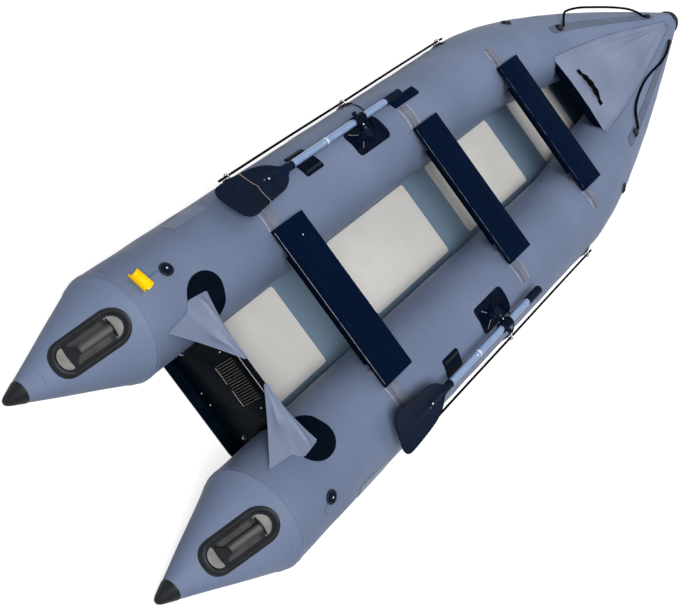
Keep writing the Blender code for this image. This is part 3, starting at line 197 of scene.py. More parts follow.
def loft(name, rings, material, wrap_rows=False, caps=True, **place):
    """Joins closed rings (rows, points, 3) with quads (r, k), (r, k + 1), (r + 1, k + 1), (r + 1, k)."""
    rings = np.asarray(rings, float)
    rows, count = rings.shape[:2]
    r = np.arange(rows if wrap_rows else rows - 1)[:, None]
    k = np.arange(count)[None, :]
    corners = [(r + a, k + b) for a, b in ((0, 0), (0, 1), (1, 1), (1, 0))]
    faces = np.stack([(i % rows) * count + j % count for i, j in corners], -1).reshape(-1, 4)
    across = np.linalg.norm(np.diff(rings, axis=1), axis=2).sum(1).max() / max(count - 1, 1)
    along = np.linalg.norm(np.diff(rings, axis=0), axis=2).max(1).cumsum()
    steps = np.append(np.concatenate([[0.0], along]), along[-1] if len(along) else 0.0)
    uv = np.stack([np.stack([steps[np.minimum(i + 0 * j, rows)], (j + 0 * i) * across], -1)
                   for i, j in corners], 2)
    face_list = faces.tolist()
    uv_list = [uv.reshape(-1, 2)]
    if caps and not wrap_rows:
        face_list += [list(range(count)), list(range((rows - 1) * count, rows * count))]
        middle = rings[[0, -1]].mean(1, keepdims=True)
        uv_list.append((rings[[0, -1]] - middle)[..., :2].reshape(-1, 2))
    mesh = bpy.data.meshes.new(name)
    mesh.from_pydata(rings.reshape(-1, 3), [], face_list)
    lay_uv(mesh, np.concatenate(uv_list))
    return piece(name, close_up(mesh), material, **place)


def sheet_mesh(name, grid, material, thickness, offset=-1.0, **place):
    """An open grid (rows, columns, 3) with a Solidify wall; its texture coordinates are lengths along it."""
    grid = np.asarray(grid, float)
    rows, count = grid.shape[:2]
    i, j = np.meshgrid(np.arange(rows - 1), np.arange(count - 1), indexing="ij")
    corners = [(i + a, j + b) for a, b in ((0, 0), (0, 1), (1, 1), (1, 0))]
    faces = np.stack([a * count + b for a, b in corners], -1).reshape(-1, 4)
    u = np.concatenate([[0.0], np.linalg.norm(np.diff(grid, axis=0), axis=2).mean(1).cumsum()])
    v = np.concatenate([[0.0], np.linalg.norm(np.diff(grid, axis=1), axis=2).mean(0).cumsum()])
    uv = np.stack([np.stack([u[a], v[b]], -1) for a, b in corners], 2)
    mesh = bpy.data.meshes.new(name)
    mesh.from_pydata(grid.reshape(-1, 3), [], faces.tolist())
    lay_uv(mesh, uv)
    mesh.shade_smooth()
    thing = piece(name, mesh, material, **place)
    wall = thing.modifiers.new("wall", "SOLIDIFY")
    wall.thickness = thickness
    wall.offset = offset
    return thing


print("points closer than", round(POLE_MERGE / MM, 3), "mm are merged")

# %% [markdown]
# Ropes, beads and weld lines are a small section carried along a smooth path through a few chosen points. At
# each point the section stands square to the path, and its second axis stays near a rough up direction.

# %% Paths, sweeps and circles
def smooth_path(points, step):
    """Points at an even step on a Catmull-Rom curve: cubic pieces through the given points."""
    points = np.asarray(points, float)
    padded = np.vstack([2 * points[0] - points[1], points, 2 * points[-1] - points[-2]])
    t = np.linspace(0, len(points) - 1, 40 * (len(points) - 1) + 1)
    k = np.minimum(t.astype(int), len(points) - 2)
    s = (t - k)[:, None]
    a, b, c, d = padded[k], padded[k + 1], padded[k + 2], padded[k + 3]
    cubic = 3 * b - a - 3 * c + d
    dense = (2 * b + (c - a) * s + (2 * a - 5 * b + 4 * c - d) * s ** 2 + cubic * s ** 3) / 2
    length = np.concatenate([[0.0], np.linalg.norm(np.diff(dense, axis=0), axis=1).cumsum()])
    even = np.linspace(0, length[-1], max(3, int(round(length[-1] / step)) + 1))
    return np.stack([np.interp(even, length, dense[:, i]) for i in range(3)], -1)


def sweep(path, section, reference):
    """Lays section (points, 2) or (rows, points, 2) across a path; reference is a rough up direction."""
    tangent = np.gradient(path, axis=0)
    tangent /= np.linalg.norm(tangent, axis=1, keepdims=True)
    reference = np.broadcast_to(np.asarray(reference, float), path.shape)
    side = np.cross(tangent, reference)
    side /= np.linalg.norm(side, axis=1, keepdims=True)
    up = np.cross(side, tangent)
    section = np.broadcast_to(section, (len(path),) + np.shape(section)[-2:])
    return path[:, None] + section[..., :1] * side[:, None] + section[..., 1:] * up[:, None]


def turns(count):
    """Even angles round a circle, from 0 to one step before 2 pi."""
    return np.arange(count) * 2 * math.pi / count


def circle(count):
    """Unit circle as (count, 2): cosine and sine of even turns."""
    turn = turns(count)
    return np.stack([np.cos(turn), np.sin(turn)], -1)


def path_length(path):
    """Sum of the straight steps along a path."""
    return float(np.linalg.norm(np.diff(path, axis=0), axis=1).sum())


print("edges over", round(math.degrees(SMOOTH_LIMIT)), "degrees stay sharp")

# %% [markdown]
# ## Finishes
# Each finish is named for what the real one is, or for the painted highlight that it draws. Colours are
# sRGB hex values turned to linear by one function.
# One small function adds a shader node with its settings and its links. Patterns read either the texture
# coordinates in metres or Object coordinates, so their scale is a real size.

# %% Node helpers
def linear(colour):
    """sRGB hex to linear RGBA: c / 12.92 below 0.04045, else ((c + 0.055) / 1.055) ^ 2.4."""
    c = np.array([int(colour[i:i + 2], 16) / 255 for i in (0, 2, 4)])
    c = np.where(c <= 0.04045, c / 12.92, ((c + 0.055) / 1.055) ** 2.4)
    return (*c.tolist(), 1.0)


def node(tree, kind, settings=None, sockets=None):
    """Adds one node; sockets maps an input's name or number to a value, or to an output to link from."""
    new = tree.nodes.new("ShaderNode" + kind)
    for key, value in (settings or {}).items():
        setattr(new, key, value)
    for key, value in (sockets or {}).items():
        if isinstance(value, bpy.types.NodeSocket):
            tree.links.new(value, new.inputs[key])
        else:
            new.inputs[key].default_value = value
    return new


def start_material(name, roughness, metallic=0.0, **shader_values):
    """A Principled material, grey until a pattern is linked: returns it, its tree and its shader."""
    material = bpy.data.materials.new(name)
    material.use_nodes = True
    tree = material.node_tree
    shader = tree.nodes["Principled BSDF"]
    shader.inputs["Base Color"].default_value = linear("808080")
    shader.inputs["Roughness"].default_value = roughness
    shader.inputs["Metallic"].default_value = metallic
    for key, value in shader_values.items():
        shader.inputs[key.replace("_", " ")].default_value = value
    return material, tree, shader


def two_tone(tree, shader, factor, dark, light):
    """Base colour mixed from two hex colours by a factor between 0 and 1."""
    mix = node(tree, "Mix", {"data_type": "RGBA"}, {0: factor, 6: linear(dark), 7: linear(light)})
    tree.links.new(mix.outputs[2], shader.inputs["Base Color"])


def spread(tree, value, low, high, to_low=0.0, to_high=1.0):
    """Stretches the part of a pattern between low and high over a new range."""
    sockets = {"Value": value, "From Min": low, "From Max": high, "To Min": to_low, "To Max": to_high}
    return node(tree, "MapRange", {"clamp": True}, sockets).outputs["Result"]


def relief(tree, shader, height, depth, strength=1.0):
    """Bump of a real depth in metres under the shader's normal."""
    bump = node(tree, "Bump", None, {"Height": height, "Distance": depth, "Strength": strength})
    tree.links.new(bump.outputs["Normal"], shader.inputs["Normal"])


def band_scale(spacing):
    """Wave texture scale for bands at a real spacing in metres: the sine has 20 radians a unit."""
    return 2 * math.pi / (20 * spacing)


print("bands 1 mm apart need a wave scale of", round(band_scale(MM), 1))

# %% [markdown]
# ### Coated fabric
# The tubes are polyester cloth coated with PVC and welded. The coating is satin and faintly grained, the
# cloth's weave shows through as a very fine grid, and large soft patches of tone come from handling and from
# the way the cloth is stretched. The thread spacing is about 1 mm; it is drawn at 2.6 mm, or it would vanish
# in the render.

# %% Coated fabrics
WEAVE_DEPTH = 0.05 * MM
THREAD_DRAWN = 2.6 * MM
CLOTH_GRAIN = 6 * MM


def coated_fabric(name, dark, light, roughness=0.5, gloss_level=0.35, patch_size=0.35):
    """Tone is broad noise, relief two sets of sine bands multiplied plus fine noise, gloss a third noise."""
    material, tree, shader = start_material(name, roughness, Specular_IOR_Level=gloss_level)
    uv = node(tree, "UVMap").outputs["UV"]
    place = node(tree, "TexCoord").outputs["Object"]
    handling = {"Vector": place, "Scale": 1 / patch_size, "Detail": 3.0, "Roughness": 0.45}
    broad = node(tree, "TexNoise", None, handling)
    two_tone(tree, shader, spread(tree, broad.outputs["Fac"], 0.3, 0.7), dark, light)
    threads = {"Vector": uv, "Scale": band_scale(THREAD_DRAWN), "Distortion": 0.4, "Detail": 1.0}
    warp, weft = (node(tree, "TexWave", {"bands_direction": axis}, threads).outputs["Fac"] for axis in "XY")
    grid = node(tree, "Math", {"operation": "MULTIPLY"}, {0: warp, 1: weft})
    grain = node(tree, "TexNoise", None, {"Vector": place, "Scale": 1 / CLOTH_GRAIN, "Detail": 2.0})
    mixed = node(tree, "Math", {"operation": "ADD"}, {0: grid.outputs[0], 1: grain.outputs["Fac"]})
    relief(tree, shader, mixed.outputs[0], WEAVE_DEPTH)
    gloss = node(tree, "TexNoise", None, {"Vector": place, "Scale": 1 / (patch_size / 4), "Detail": 4.0})
    low, high = roughness - 0.05, roughness + 0.07
    tree.links.new(spread(tree, gloss.outputs["Fac"], 0.3, 0.7, low, high), shader.inputs["Roughness"])
    return material


# Satin grey blue: the tubes' soft shine, broken by handling marks
TUBE_FABRIC = coated_fabric("pvc_coated_tube_cloth", "66748F", "74819D", gloss_level=0.22)
# The same cloth, stretched flat, looks paler on the deck and softly creased on the flaps
DECK_FABRIC = coated_fabric("pvc_coated_deck_cloth", "6F7A94", "7F88A2", patch_size=0.2)
FLAP_FABRIC = coated_fabric("pvc_coated_flap_cloth", "6A758F", "78829A", patch_size=0.12)
# Smoother tape, a pale welded edge, and the darker cloth of the grab strips
SEAM_TAPE = coated_fabric("pvc_seam_tape", "69778F", "75829B", roughness=0.44, patch_size=0.1)
WELD_EDGE = coated_fabric("pvc_weld_edge", "7B859C", "8C95AA", roughness=0.4, patch_size=0.1)
STRIP_FABRIC = coated_fabric("pvc_grab_strip", "4E586D", "5E677B", gloss_level=0.25, patch_size=0.1)
# Bluer, duller cloth inside the boat, below the tubes and on the floor
BOTTOM_FABRIC = coated_fabric("pvc_coated_bottom_cloth", "526A7E", "5F7689", patch_size=0.3)
FLOOR_FABRIC = coated_fabric("drop_stitch_floor_cloth", "556C7F", "64798B", roughness=0.55, patch_size=0.25)
# Near black, with almost no shine
BLACK_PATCH = coated_fabric("black_pvc_patch", "010812", "040E1B", gloss_level=0.02, patch_size=0.06)
print("coated fabrics made, threads drawn", round(THREAD_DRAWN / MM, 1), "mm apart")

# %% [markdown]
# ### Textured floor pads
# The pads are pale EVA foam or embossed PVC, pressed with fine diagonal lines so that wet feet don't slip.
# The lines are about 3 mm apart and are drawn at 5 mm. The pads are warm grey with a slow change of tone
# along the boat.

# %% Pad finish
PAD_LINE = 5 * MM
PAD_TONE_SIZE = 0.25


def embossed_pad():
    """Two sets of slanted sine bands make the relief; a share of them plus broad noise gives the tone."""
    material, tree, shader = start_material("embossed_floor_pad", 0.72)
    place = node(tree, "TexCoord").outputs["Object"]
    turned = node(tree, "Mapping", None, {"Vector": place, "Rotation": (0.0, 0.0, math.radians(36))})
    bands = []
    for axis, spacing in (("X", PAD_LINE), ("Y", PAD_LINE * 1.6)):
        sockets = {"Vector": turned.outputs[0], "Scale": band_scale(spacing), "Distortion": 0.3}
        bands.append(node(tree, "TexWave", {"bands_direction": axis}, sockets).outputs["Fac"])
    both = node(tree, "Math", {"operation": "ADD"}, {0: bands[0], 1: bands[1]})
    broad = node(tree, "TexNoise", None, {"Vector": place, "Scale": 1 / PAD_TONE_SIZE, "Detail": 3.0})
    fine = node(tree, "Math", {"operation": "MULTIPLY"}, {0: both.outputs[0], 1: 0.18})
    tone = node(tree, "Math", {"operation": "ADD"}, {0: fine.outputs[0], 1: broad.outputs["Fac"]})
    two_tone(tree, shader, spread(tree, tone.outputs[0], 0.35, 0.95), "BFBDB9", "CFCDC9")
    relief(tree, shader, both.outputs[0], 0.4 * MM, 0.6)
    return material


PAD_FINISH = embossed_pad()
print("pad lines drawn", round(PAD_LINE / MM, 1), "mm apart")

# %% [markdown]
# ### Rubber, plastic, paint and metal
# Moulded rubber has a fine matt grain and a slowly changing tone; pale lines on some edges and crests are
# painted highlights. The blades and clamps are glass-filled nylon, a little glossier. Seats and transom are
# plywood under marine paint: smooth, with a thin clear gloss over a dark coat that shows faint grain. The
# shafts are anodised aluminium, drawn and brushed along their length.

# %% Hard finishes
MOULD_TONE_SIZE = 0.05
# Noise cycles a metre along x, y and z: streaks 330 mm long on boards, lines 50 mm long on the shafts
BOARD_GRAIN_CYCLES = (3.0, 60.0, 60.0)
DRAWN_LINE_CYCLES = (900.0, 20.0, 900.0)


def moulded(name, dark, light, roughness, gloss_level=0.5, grain=1.5 * MM):
    """Broad noise gives the tone and the roughness, fine noise the matt grain."""
    material, tree, shader = start_material(name, roughness, Specular_IOR_Level=gloss_level)
    place = node(tree, "TexCoord").outputs["Object"]
    broad = node(tree, "TexNoise", None, {"Vector": place, "Scale": 1 / MOULD_TONE_SIZE, "Detail": 4.0})
    two_tone(tree, shader, spread(tree, broad.outputs["Fac"], 0.35, 0.68), dark, light)
    fine = node(tree, "TexNoise", None, {"Vector": place, "Scale": 1 / grain, "Detail": 2.0})
    relief(tree, shader, fine.outputs["Fac"], 0.06 * MM)
    rough = spread(tree, broad.outputs["Fac"], 0.3, 0.7, roughness - 0.06, roughness + 0.08)
    tree.links.new(rough, shader.inputs["Roughness"])
    return material


def painted_board(name, dark, light, roughness, gloss_level=0.12):
    """Paint over plywood: noise stretched along the board for long faint streaks of grain."""
    material, tree, shader = start_material(name, roughness, Specular_IOR_Level=gloss_level)
    place = node(tree, "TexCoord").outputs["Object"]
    long_way = node(tree, "Mapping", None, {"Vector": place, "Scale": BOARD_GRAIN_CYCLES})
    grain = node(tree, "TexNoise", None, {"Vector": long_way.outputs[0], "Scale": 1.0, "Detail": 5.0})
    two_tone(tree, shader, spread(tree, grain.outputs["Fac"], 0.3, 0.7), dark, light)
    relief(tree, shader, grain.outputs["Fac"], 0.05 * MM, 0.5)
    return material


def anodised(name, dark, light, roughness=0.3):
    """Fine lines drawn along the tube: noise stretched forty-five to one."""
    material, tree, shader = start_material(name, roughness, metallic=0.75)
    place = node(tree, "TexCoord").outputs["Object"]
    drawn = node(tree, "Mapping", None, {"Vector": place, "Scale": DRAWN_LINE_CYCLES})
    lines = node(tree, "TexNoise", None, {"Vector": drawn.outputs[0], "Scale": 1.0, "Detail": 3.0})
    two_tone(tree, shader, spread(tree, lines.outputs["Fac"], 0.3, 0.7), dark, light)
    relief(tree, shader, lines.outputs["Fac"], 0.02 * MM)
    rough = spread(tree, lines.outputs["Fac"], 0.2, 0.8, roughness - 0.05, roughness + 0.1)
    tree.links.new(rough, shader.inputs["Roughness"])
    return material


# Rubbers: black with a low sheen, navy and dull ones, warm grey in the recesses and in some painted
# highlights, and a paler grey that paints highlights on crests
RUBBER = moulded("moulded_black_rubber", "06090E", "12161D", 0.42, 0.2)
NAVY_RUBBER = moulded("moulded_navy_rubber", "030A1A", "081428", 0.42, 0.02)
DULL_RUBBER = moulded("dull_black_rubber", "020406", "090B0F", 0.6, 0.02)
GREY_RUBBER = moulded("warm_grey_rubber", "6C6D6A", "8C8D89", 0.6, 0.25, grain=1.2 * MM)
RIB_HIGHLIGHT = moulded("worn_rib_crest", "7A7872", "98968E", 0.6, 0.1)
RIBBED_RUBBER = moulded("dark_grey_rubber", "1C1C1D", "323131", 0.36, 0.4)
# Plastics: navy nylon, the rails' welded strips with a pale line of painted highlight, a bright card,
# small white parts
NYLON = moulded("glass_filled_nylon", "0A1424", "101D33", 0.42, 0.03)
RAIL_STRIP = moulded("mauve_grey_rail_strip", "656A7A", "7C8090", 0.55, 0.3)
RAIL_HIGHLIGHT = moulded("painted_rail_highlight", "9EA4B2", "B9BDC8", 0.5, 0.3)
YELLOW_CARD = moulded("yellow_plastic_card", "FFCD04", "FFE018", 0.42, 0.12)
WHITE_PLASTIC = moulded("white_plastic", "D8DAD8", "F0F1EF", 0.4)
# Thin strings: matt, with a fine fuzz
STRING = moulded("grey_blue_string", "3E5674", "56708F", 0.7, grain=0.6 * MM)
TAN_CORD = moulded("tan_cord", "A28D7C", "C6B2A2", 0.75, 0.1, grain=0.6 * MM)
# Paint: deep navy and black coats over faint grain, and a pale colour for painted highlights along edges
SEAT_PAINT = painted_board("navy_seat_paint", "041027", "07172F", 0.42, 0.006)
TRANSOM_PAINT = painted_board("black_transom_paint", "01060C", "030B14", 0.38, 0.02)
EDGE_HIGHLIGHT = painted_board("worn_board_edge", "8E8A84", "B5AFA6", 0.5)
# Metals: blue anodised shafts, a brighter joint ring, and steel fittings
SHAFT_METAL = anodised("anodised_shaft", "6E88B0", "96ABCB")
BRIGHT_METAL = anodised("bright_ring", "B9C6DA", "E2E8F2", 0.25)
STEEL = anodised("stainless_steel", "9AA0A6", "D8DCE0", 0.25)
print("hard finishes made")

# %% [markdown]
# ### Rope and webbing
# A braided rope is a sleeve of strands that cross at a steep angle. Two sets of slanted bands on the rope's
# own texture coordinates, multiplied, give the diamonds. Webbing is the same with a finer pitch. Black
# polyester is so dull that it has next to no shine.

# %% Rope finish
def braided(name, dark, light, pitch):
    """Two sets of sine bands, slanted 40 degrees either way and multiplied: dark dips, light crowns."""
    material, tree, shader = start_material(name, 0.75, Specular_IOR_Level=0.02)
    uv = node(tree, "UVMap").outputs["UV"]
    bands = []
    for slant in (40, -40):
        slanted = node(tree, "Mapping", None, {"Vector": uv, "Rotation": (0.0, 0.0, math.radians(slant))})
        bands.append(node(tree, "TexWave", {"bands_direction": "X"},
                          {"Vector": slanted.outputs[0], "Scale": band_scale(pitch)}).outputs["Fac"])
    crossing = node(tree, "Math", {"operation": "MULTIPLY"}, {0: bands[0], 1: bands[1]})
    two_tone(tree, shader, spread(tree, crossing.outputs[0], 0.1, 0.8), dark, light)
    relief(tree, shader, crossing.outputs[0], 0.8 * MM)
    return material


BLACK_ROPE = braided("black_braided_rope", "020409", "0D1016", 4 * MM)
WEBBING = braided("black_webbing", "020306", "101318", 3 * MM)
print("materials", len(bpy.data.materials))

# %% [markdown]
# ## Ropes
# A lifeline runs along each tube's outer side through three rings, pulled fairly tight, and a thicker grab
# line lies in a bow from anchor to anchor at the bow. Both are braided polyester. Their routes are chosen
# from the photograph: a share of the way, an angle round the tube and a height above it.

# %% Ropes
RING_YS = (-1.030, -0.268, 0.512)
RING_ANGLE = 76.0
LIFELINE_RADIUS = 5 * MM
LIFELINE_STAND_OFF = 16.5 * MM
LIFELINE_END = 0.045
LIFELINE_SAG = 2.2
STRIP_START_Y = 1.130
STRIP_END_Y = 1.971
STRIP_ANGLE = 9.0
ANCHOR_LENGTH = 0.034
ANCHOR_STARTS = {"port": (1.180, 1.905), "starboard": (1.205, 1.935)}
GRAB_RADIUS = 6 * MM
GRAB_ROUTES = {
    "port": ((0.0, 9, 11.2), (0.015, 9, 11.2), (0.04, 14, 16), (0.09, 24, 30), (0.16, 31, 39),
             (0.32, 35, 43), (0.50, 35, 41), (0.70, 34, 37), (0.86, 29, 30), (0.94, 18, 19),
             (0.97, 11, 12.5), (0.985, 9, 11.2), (1.0, 9, 11.2)),
    "starboard": ((0.0, 9, 11.2), (0.015, 9, 11.2), (0.035, 6, 11.8), (0.09, -4, 12), (0.18, -11, 10),
                  (0.32, -15, 9), (0.48, -15, 9), (0.62, -9, 10), (0.76, 2, 13), (0.88, 9, 13),
                  (0.965, 10, 11.8), (0.985, 9, 11.2), (1.0, 9, 11.2)),
}


def rope(name, points, radius, material, step=4 * MM, count=14, **place):
    """A round rope: three low swells wind round it once in seven diameters, so it isn't a plain tube."""
    path = smooth_path(points, step)
    along = np.arange(len(path))[:, None] * step
    swell = 1 + 0.035 * np.cos(3 * (turns(count) - along * 2 * math.pi / (14 * radius)))
    section = circle(count)[None] * (radius * swell / 1.035)[..., None]
    thing = loft(name, sweep(path, section, (0.05, 0.03, 1.0)), material, **place)
    return thing, path


def lifeline_points(side):
    """Each ring's place on the tube, a lower point halfway between two rings, and a short end past both."""
    ys = [RING_YS[0] - LIFELINE_END]
    angles = [RING_ANGLE]
    for a, b in zip(RING_YS, RING_YS[1:]):
        ys += [a, (a + b) / 2]
        angles += [RING_ANGLE, RING_ANGLE + LIFELINE_SAG]
    ys += [RING_YS[-1], RING_YS[-1] + LIFELINE_END]
    angles += [RING_ANGLE, RING_ANGLE]
    return on_tube(side, ys, angles, LIFELINE_STAND_OFF)


def grab_points(label, side):
    """Points from inside the aft anchor to inside the fore one, at the route's shares of that way."""
    aft, fore = ANCHOR_STARTS[label]
    first = aft + ANCHOR_LENGTH + 0.3 * GRAB_RADIUS
    last = fore - 0.35 * GRAB_RADIUS
    share, angle, height = np.array(GRAB_ROUTES[label]).T
    return on_tube(side, first + (last - first) * share, angle, height * MM)


def declare_cord(line, path):
    """Prints the cord's name and its length."""
    print(line.name, "length", round(path_length(path), 3))


for label, side in SIDES.items():
    for name, points, radius in ((f"{label}_lifeline", lifeline_points(side), LIFELINE_RADIUS),
                                 (f"{label}_grab_line", grab_points(label, side), GRAB_RADIUS)):
        line, path = rope(name + "_rope", points, radius, BLACK_ROPE, slot="black_rope", replaces=name)
        declare_cord(line, path)

# %% [markdown]
# ## Side tubes
# Each tube is cut from flat panels that overlap and are welded. The panel joins show as bands a little proud
# of the cloth, and beside a seam the cloth puckers where the air pulls it round. The cones are separate
# panels welded on at the end of the straight part, with a fine raised line along both edges of that seam, and
# the port one has a short weld near its tip. The bow bends in short straight lengths, which the air rounds
# off.

# %% Side tubes
TUBE_POINTS = 144
SEAMS = {"port": (STERN_SEAM_Y, -0.60, 0.422, 1.07, 1.72),
         "starboard": (STERN_SEAM_Y, -0.75, 0.460, 1.05, 1.66)}
SEAM_WIDTH = 0.034
SEAM_PROUD = 0.7 * MM
PUCKER_COUNT = 46
TIP_WELD_Y = -2.052


def tube_height(y, angle, seams):
    """Extra height: a band with soft sides at each seam, puckers that die away beside it, and slow waves."""
    height = np.zeros(np.broadcast(y, angle).shape)
    round_tube = np.radians(angle)
    for number, seam in enumerate(seams):
        off = np.abs(y - seam) / (SEAM_WIDTH / 2)
        height = height + SEAM_PROUD * np.clip((1.12 - off) / 0.24, 0, 1)
        ripple = np.sin(round_tube * PUCKER_COUNT + number * 2.1) * np.sin(round_tube * 17 + number)
        height = height + 0.8 * MM * ripple * np.exp(-((off - 1.3) / 1.1) ** 2)
    slow = np.sin(y * 23 + round_tube * 3) * np.sin(y * 9.1 - round_tube * 2)
    return height + 0.9 * MM * slow * (y < BOW_START_Y + 1.2)


def tube_mesh(label, side):
    """The tube function on a grid, dense at the seams and the bow, drawn in by 0.6 mm under the nose cap."""
    seams = SEAMS[label]
    ys = [np.linspace(STERN_CAP_Y, STERN_SEAM_Y - 0.05, 40),
          np.linspace(BOW_START_Y, TUBE_END_Y - 1 * MM, 150),
          np.linspace(STERN_SEAM_Y + 0.05, BOW_START_Y, 80)]
    ys += [np.linspace(seam - 0.05, seam + 0.05, 41) for seam in seams]
    y = np.unique(np.round(np.concatenate(ys), 4))
    y = y[np.concatenate([[True], np.diff(y) > 1.4 * MM])][:, None]
    angle = np.arange(TUBE_POINTS)[None] * 360 / TUBE_POINTS
    rings = on_tube(side, y, angle, tube_height(y, angle, seams))
    taper = np.clip((y - 1.97) / 0.1, 0, 1)
    rings -= (taper * 0.6 * MM)[..., None] * (rings - rings.mean(1, keepdims=True)) / station(y)[2][..., None]
    return loft(f"{label}_tube_cloth", rings, TUBE_FABRIC, slot="tube_fabric", replaces=f"{label}_tube")


for label, side in SIDES.items():
    tube = tube_mesh(label, side)
    print(tube.name, "faces", len(tube.data.polygons))
    for number, y in enumerate((STERN_SEAM_Y - SEAM_WIDTH / 2, STERN_SEAM_Y + SEAM_WIDTH / 2)):
        path = on_tube(side, np.full(120, y), np.linspace(-115, 115, 120), SEAM_PROUD + 0.2 * MM)
        loft(f"{label}_weld_edge_{number}", sweep(path, circle(8) * 0.9 * MM, (0, 1.0, 0)), WELD_EDGE,
             slot="tube_fabric")
tip_weld = on_tube(-1, np.full(40, TIP_WELD_Y), np.linspace(-24, 33, 40), 0.3 * MM)
loft("port_tip_weld", sweep(tip_weld, circle(8) * 0.8 * MM, (0, 1.0, 0)), STRIP_FABRIC, slot="tube_fabric")

# %% [markdown]
# ## Pieces bonded on a tube
# A patch is an outline laid on the tube. Its rings go from the middle of its underside out to the rim and
# back to the middle on top, each with a share of the outline and a height, so one function makes thin
# patches, moulded pads and discs with steps.

# %% Patches
PATCH_LIFT = 0.9 * MM


def even(points, count):
    """Points of a closed outline at even steps along it."""
    closed = np.vstack([points, points[:1]])
    length = np.concatenate([[0.0], np.linalg.norm(np.diff(closed, axis=0), axis=1).cumsum()])
    at = np.arange(count) * length[-1] / count
    return np.stack([np.interp(at, length, closed[:, i]) for i in range(2)], -1)


def rounded(length, width, corner, count=96):
    """A rectangle with round corners: a circle pushed out to four centres."""
    turn = turns(48) + math.pi / 48
    points = np.stack([corner * np.cos(turn) + np.sign(np.cos(turn)) * (length / 2 - corner),
                       corner * np.sin(turn) + np.sign(np.sin(turn)) * (width / 2 - corner)], -1)
    return even(points, count)


def patch_rings(side, y, angle, outline, levels, lift=0.0):
    """Outline (u along the boat, v round the tube outboard), scaled by each level's share at its height."""
    radius = station(y)[2]
    rings = []
    for share, height in levels:
        scaled = np.asarray(outline) * share
        round_tube = angle + np.degrees(scaled[:, 1] / radius)
        rings.append(on_tube(side, y + scaled[:, 0], round_tube, lift + height))
    return np.array(rings)


def soft_levels(thickness, bevel=0.03, steps=6):
    """Flat underside, upright wall with a round top edge, then rings in to the middle."""
    low = [(share, 0.0) for share in np.linspace(0, 1, steps)]
    edge = [(1 - bevel * (1 - math.cos(t)), thickness * (0.4 + 0.6 * math.sin(t)))
            for t in (0.0, 0.5, 1.0, 1.4)]
    top = [(share, thickness) for share in np.linspace(1 - bevel * 1.2, 0, steps)]
    return low + edge + top


def tube_patch(name, side, y, angle, outline, levels, material, lift=PATCH_LIFT, **place):
    """A closed piece from patch_rings, which start and end at the outline's middle."""
    return loft(name, patch_rings(side, y, angle, outline, levels, lift), material, caps=False, **place)


def disc_on_tube(name, side, y, angle, profile, material, count=48, lobes=0, lobe_depth=0.0, **place):
    """A turned piece standing straight out of the tube: profile is (radius, height) pairs."""
    across, along, out = tube_axes(side, y, angle)
    centre = on_tube(side, y, angle)
    turn = turns(count)
    wave = 1 - lobe_depth * (0.5 + 0.5 * np.cos(turn * lobes)) if lobes else np.ones(count)
    spoke = np.cos(turn)[:, None] * across + np.sin(turn)[:, None] * along
    rings = [centre + radius * wave[:, None] * spoke + out * height for radius, height in profile]
    return loft(name, rings, material, caps=False, **place)


print("patches stand", round(PATCH_LIFT / MM, 1), "mm off the cloth")

# %% [markdown]
# ### Black arched patches and label places
# A black patch with a round outboard end is welded under each splash flap's root, so that the flap's load is
# spread over more cloth. Four places carry printed labels on the real boat and stay plain here. They are thin
# film, barely proud.

# %% Arched patches and plain places
ARCH_LENGTH, ARCH_WIDTH, ARCH_CORNER = 0.174, 0.214, 0.084
LABELS = {
    "port": ((-1.444, 65), (-1.265, 70), (-1.264, 48), (-1.442, 47)),
    "starboard": ((-1.440, 72), (-1.265, 72), (-1.263, 54.5), (-1.445, 51)),
}

for label, side in SIDES.items():
    arch = rounded(ARCH_LENGTH, ARCH_WIDTH, ARCH_CORNER, 140)
    tube_patch(f"{label}_arched_patch", side, -1.533, -34.5, arch, soft_levels(1.3 * MM, 0.02, 9),
               BLACK_PATCH, slot="black_rubber")
    corners = np.array(LABELS[label])
    centre = corners.mean(0)
    flat = (corners - centre) * [1.0, math.radians(1) * TUBE_RADIUS]
    tube_patch(f"{label}_label_place", side, centre[0], centre[1], even(flat, 80),
               soft_levels(0.5 * MM, 0.01), SEAM_TAPE, slot="tube_fabric")
    print(label, "plain place", np.ptp(flat, axis=0).round(3).tolist())

# %% [markdown]
# ## Bow deck
# One sheet of coated cloth is welded to both tubes along a hem and pulled tight between them. It sinks
# slightly from its crown to the hems, and four low folds a side run forward, where the pull is strongest. Its
# aft edge is hemmed over a cord, a darker line of painted shade follows each side hem, and a black strip
# hangs down from the aft edge as painted shade under the deck.

# %% Bow deck
DECK_START_Y = 1.060
DECK_END_Y = BOW_START_Y + BOW_LENGTH * 0.93
DECK_FLANGE = 0.022
DECK_CROWN = 0.010
# Depth of the black strip that paints the shade under the deck's aft edge
SHADE_STRIP_DEPTH = 0.044
DECK_THICKNESS = 3 * MM
HEM_SHARE = 0.86
# Share of the way from the middle to the hem, width of the fold as such a share, height in mm
DECK_FOLDS = ((0.86, 0.07, 5.5), (0.62, 0.06, -5.2), (0.40, 0.09, 4.6), (0.16, 0.08, -3.6))


def deck_edge_angle(y):
    """Angle of the hem's outer edge: it turns 10.5 degrees over the first third of the bow."""
    return -31.0 + 10.5 * np.clip((np.asarray(y) - DECK_START_Y) / (BOW_LENGTH / 3), 0, 1)


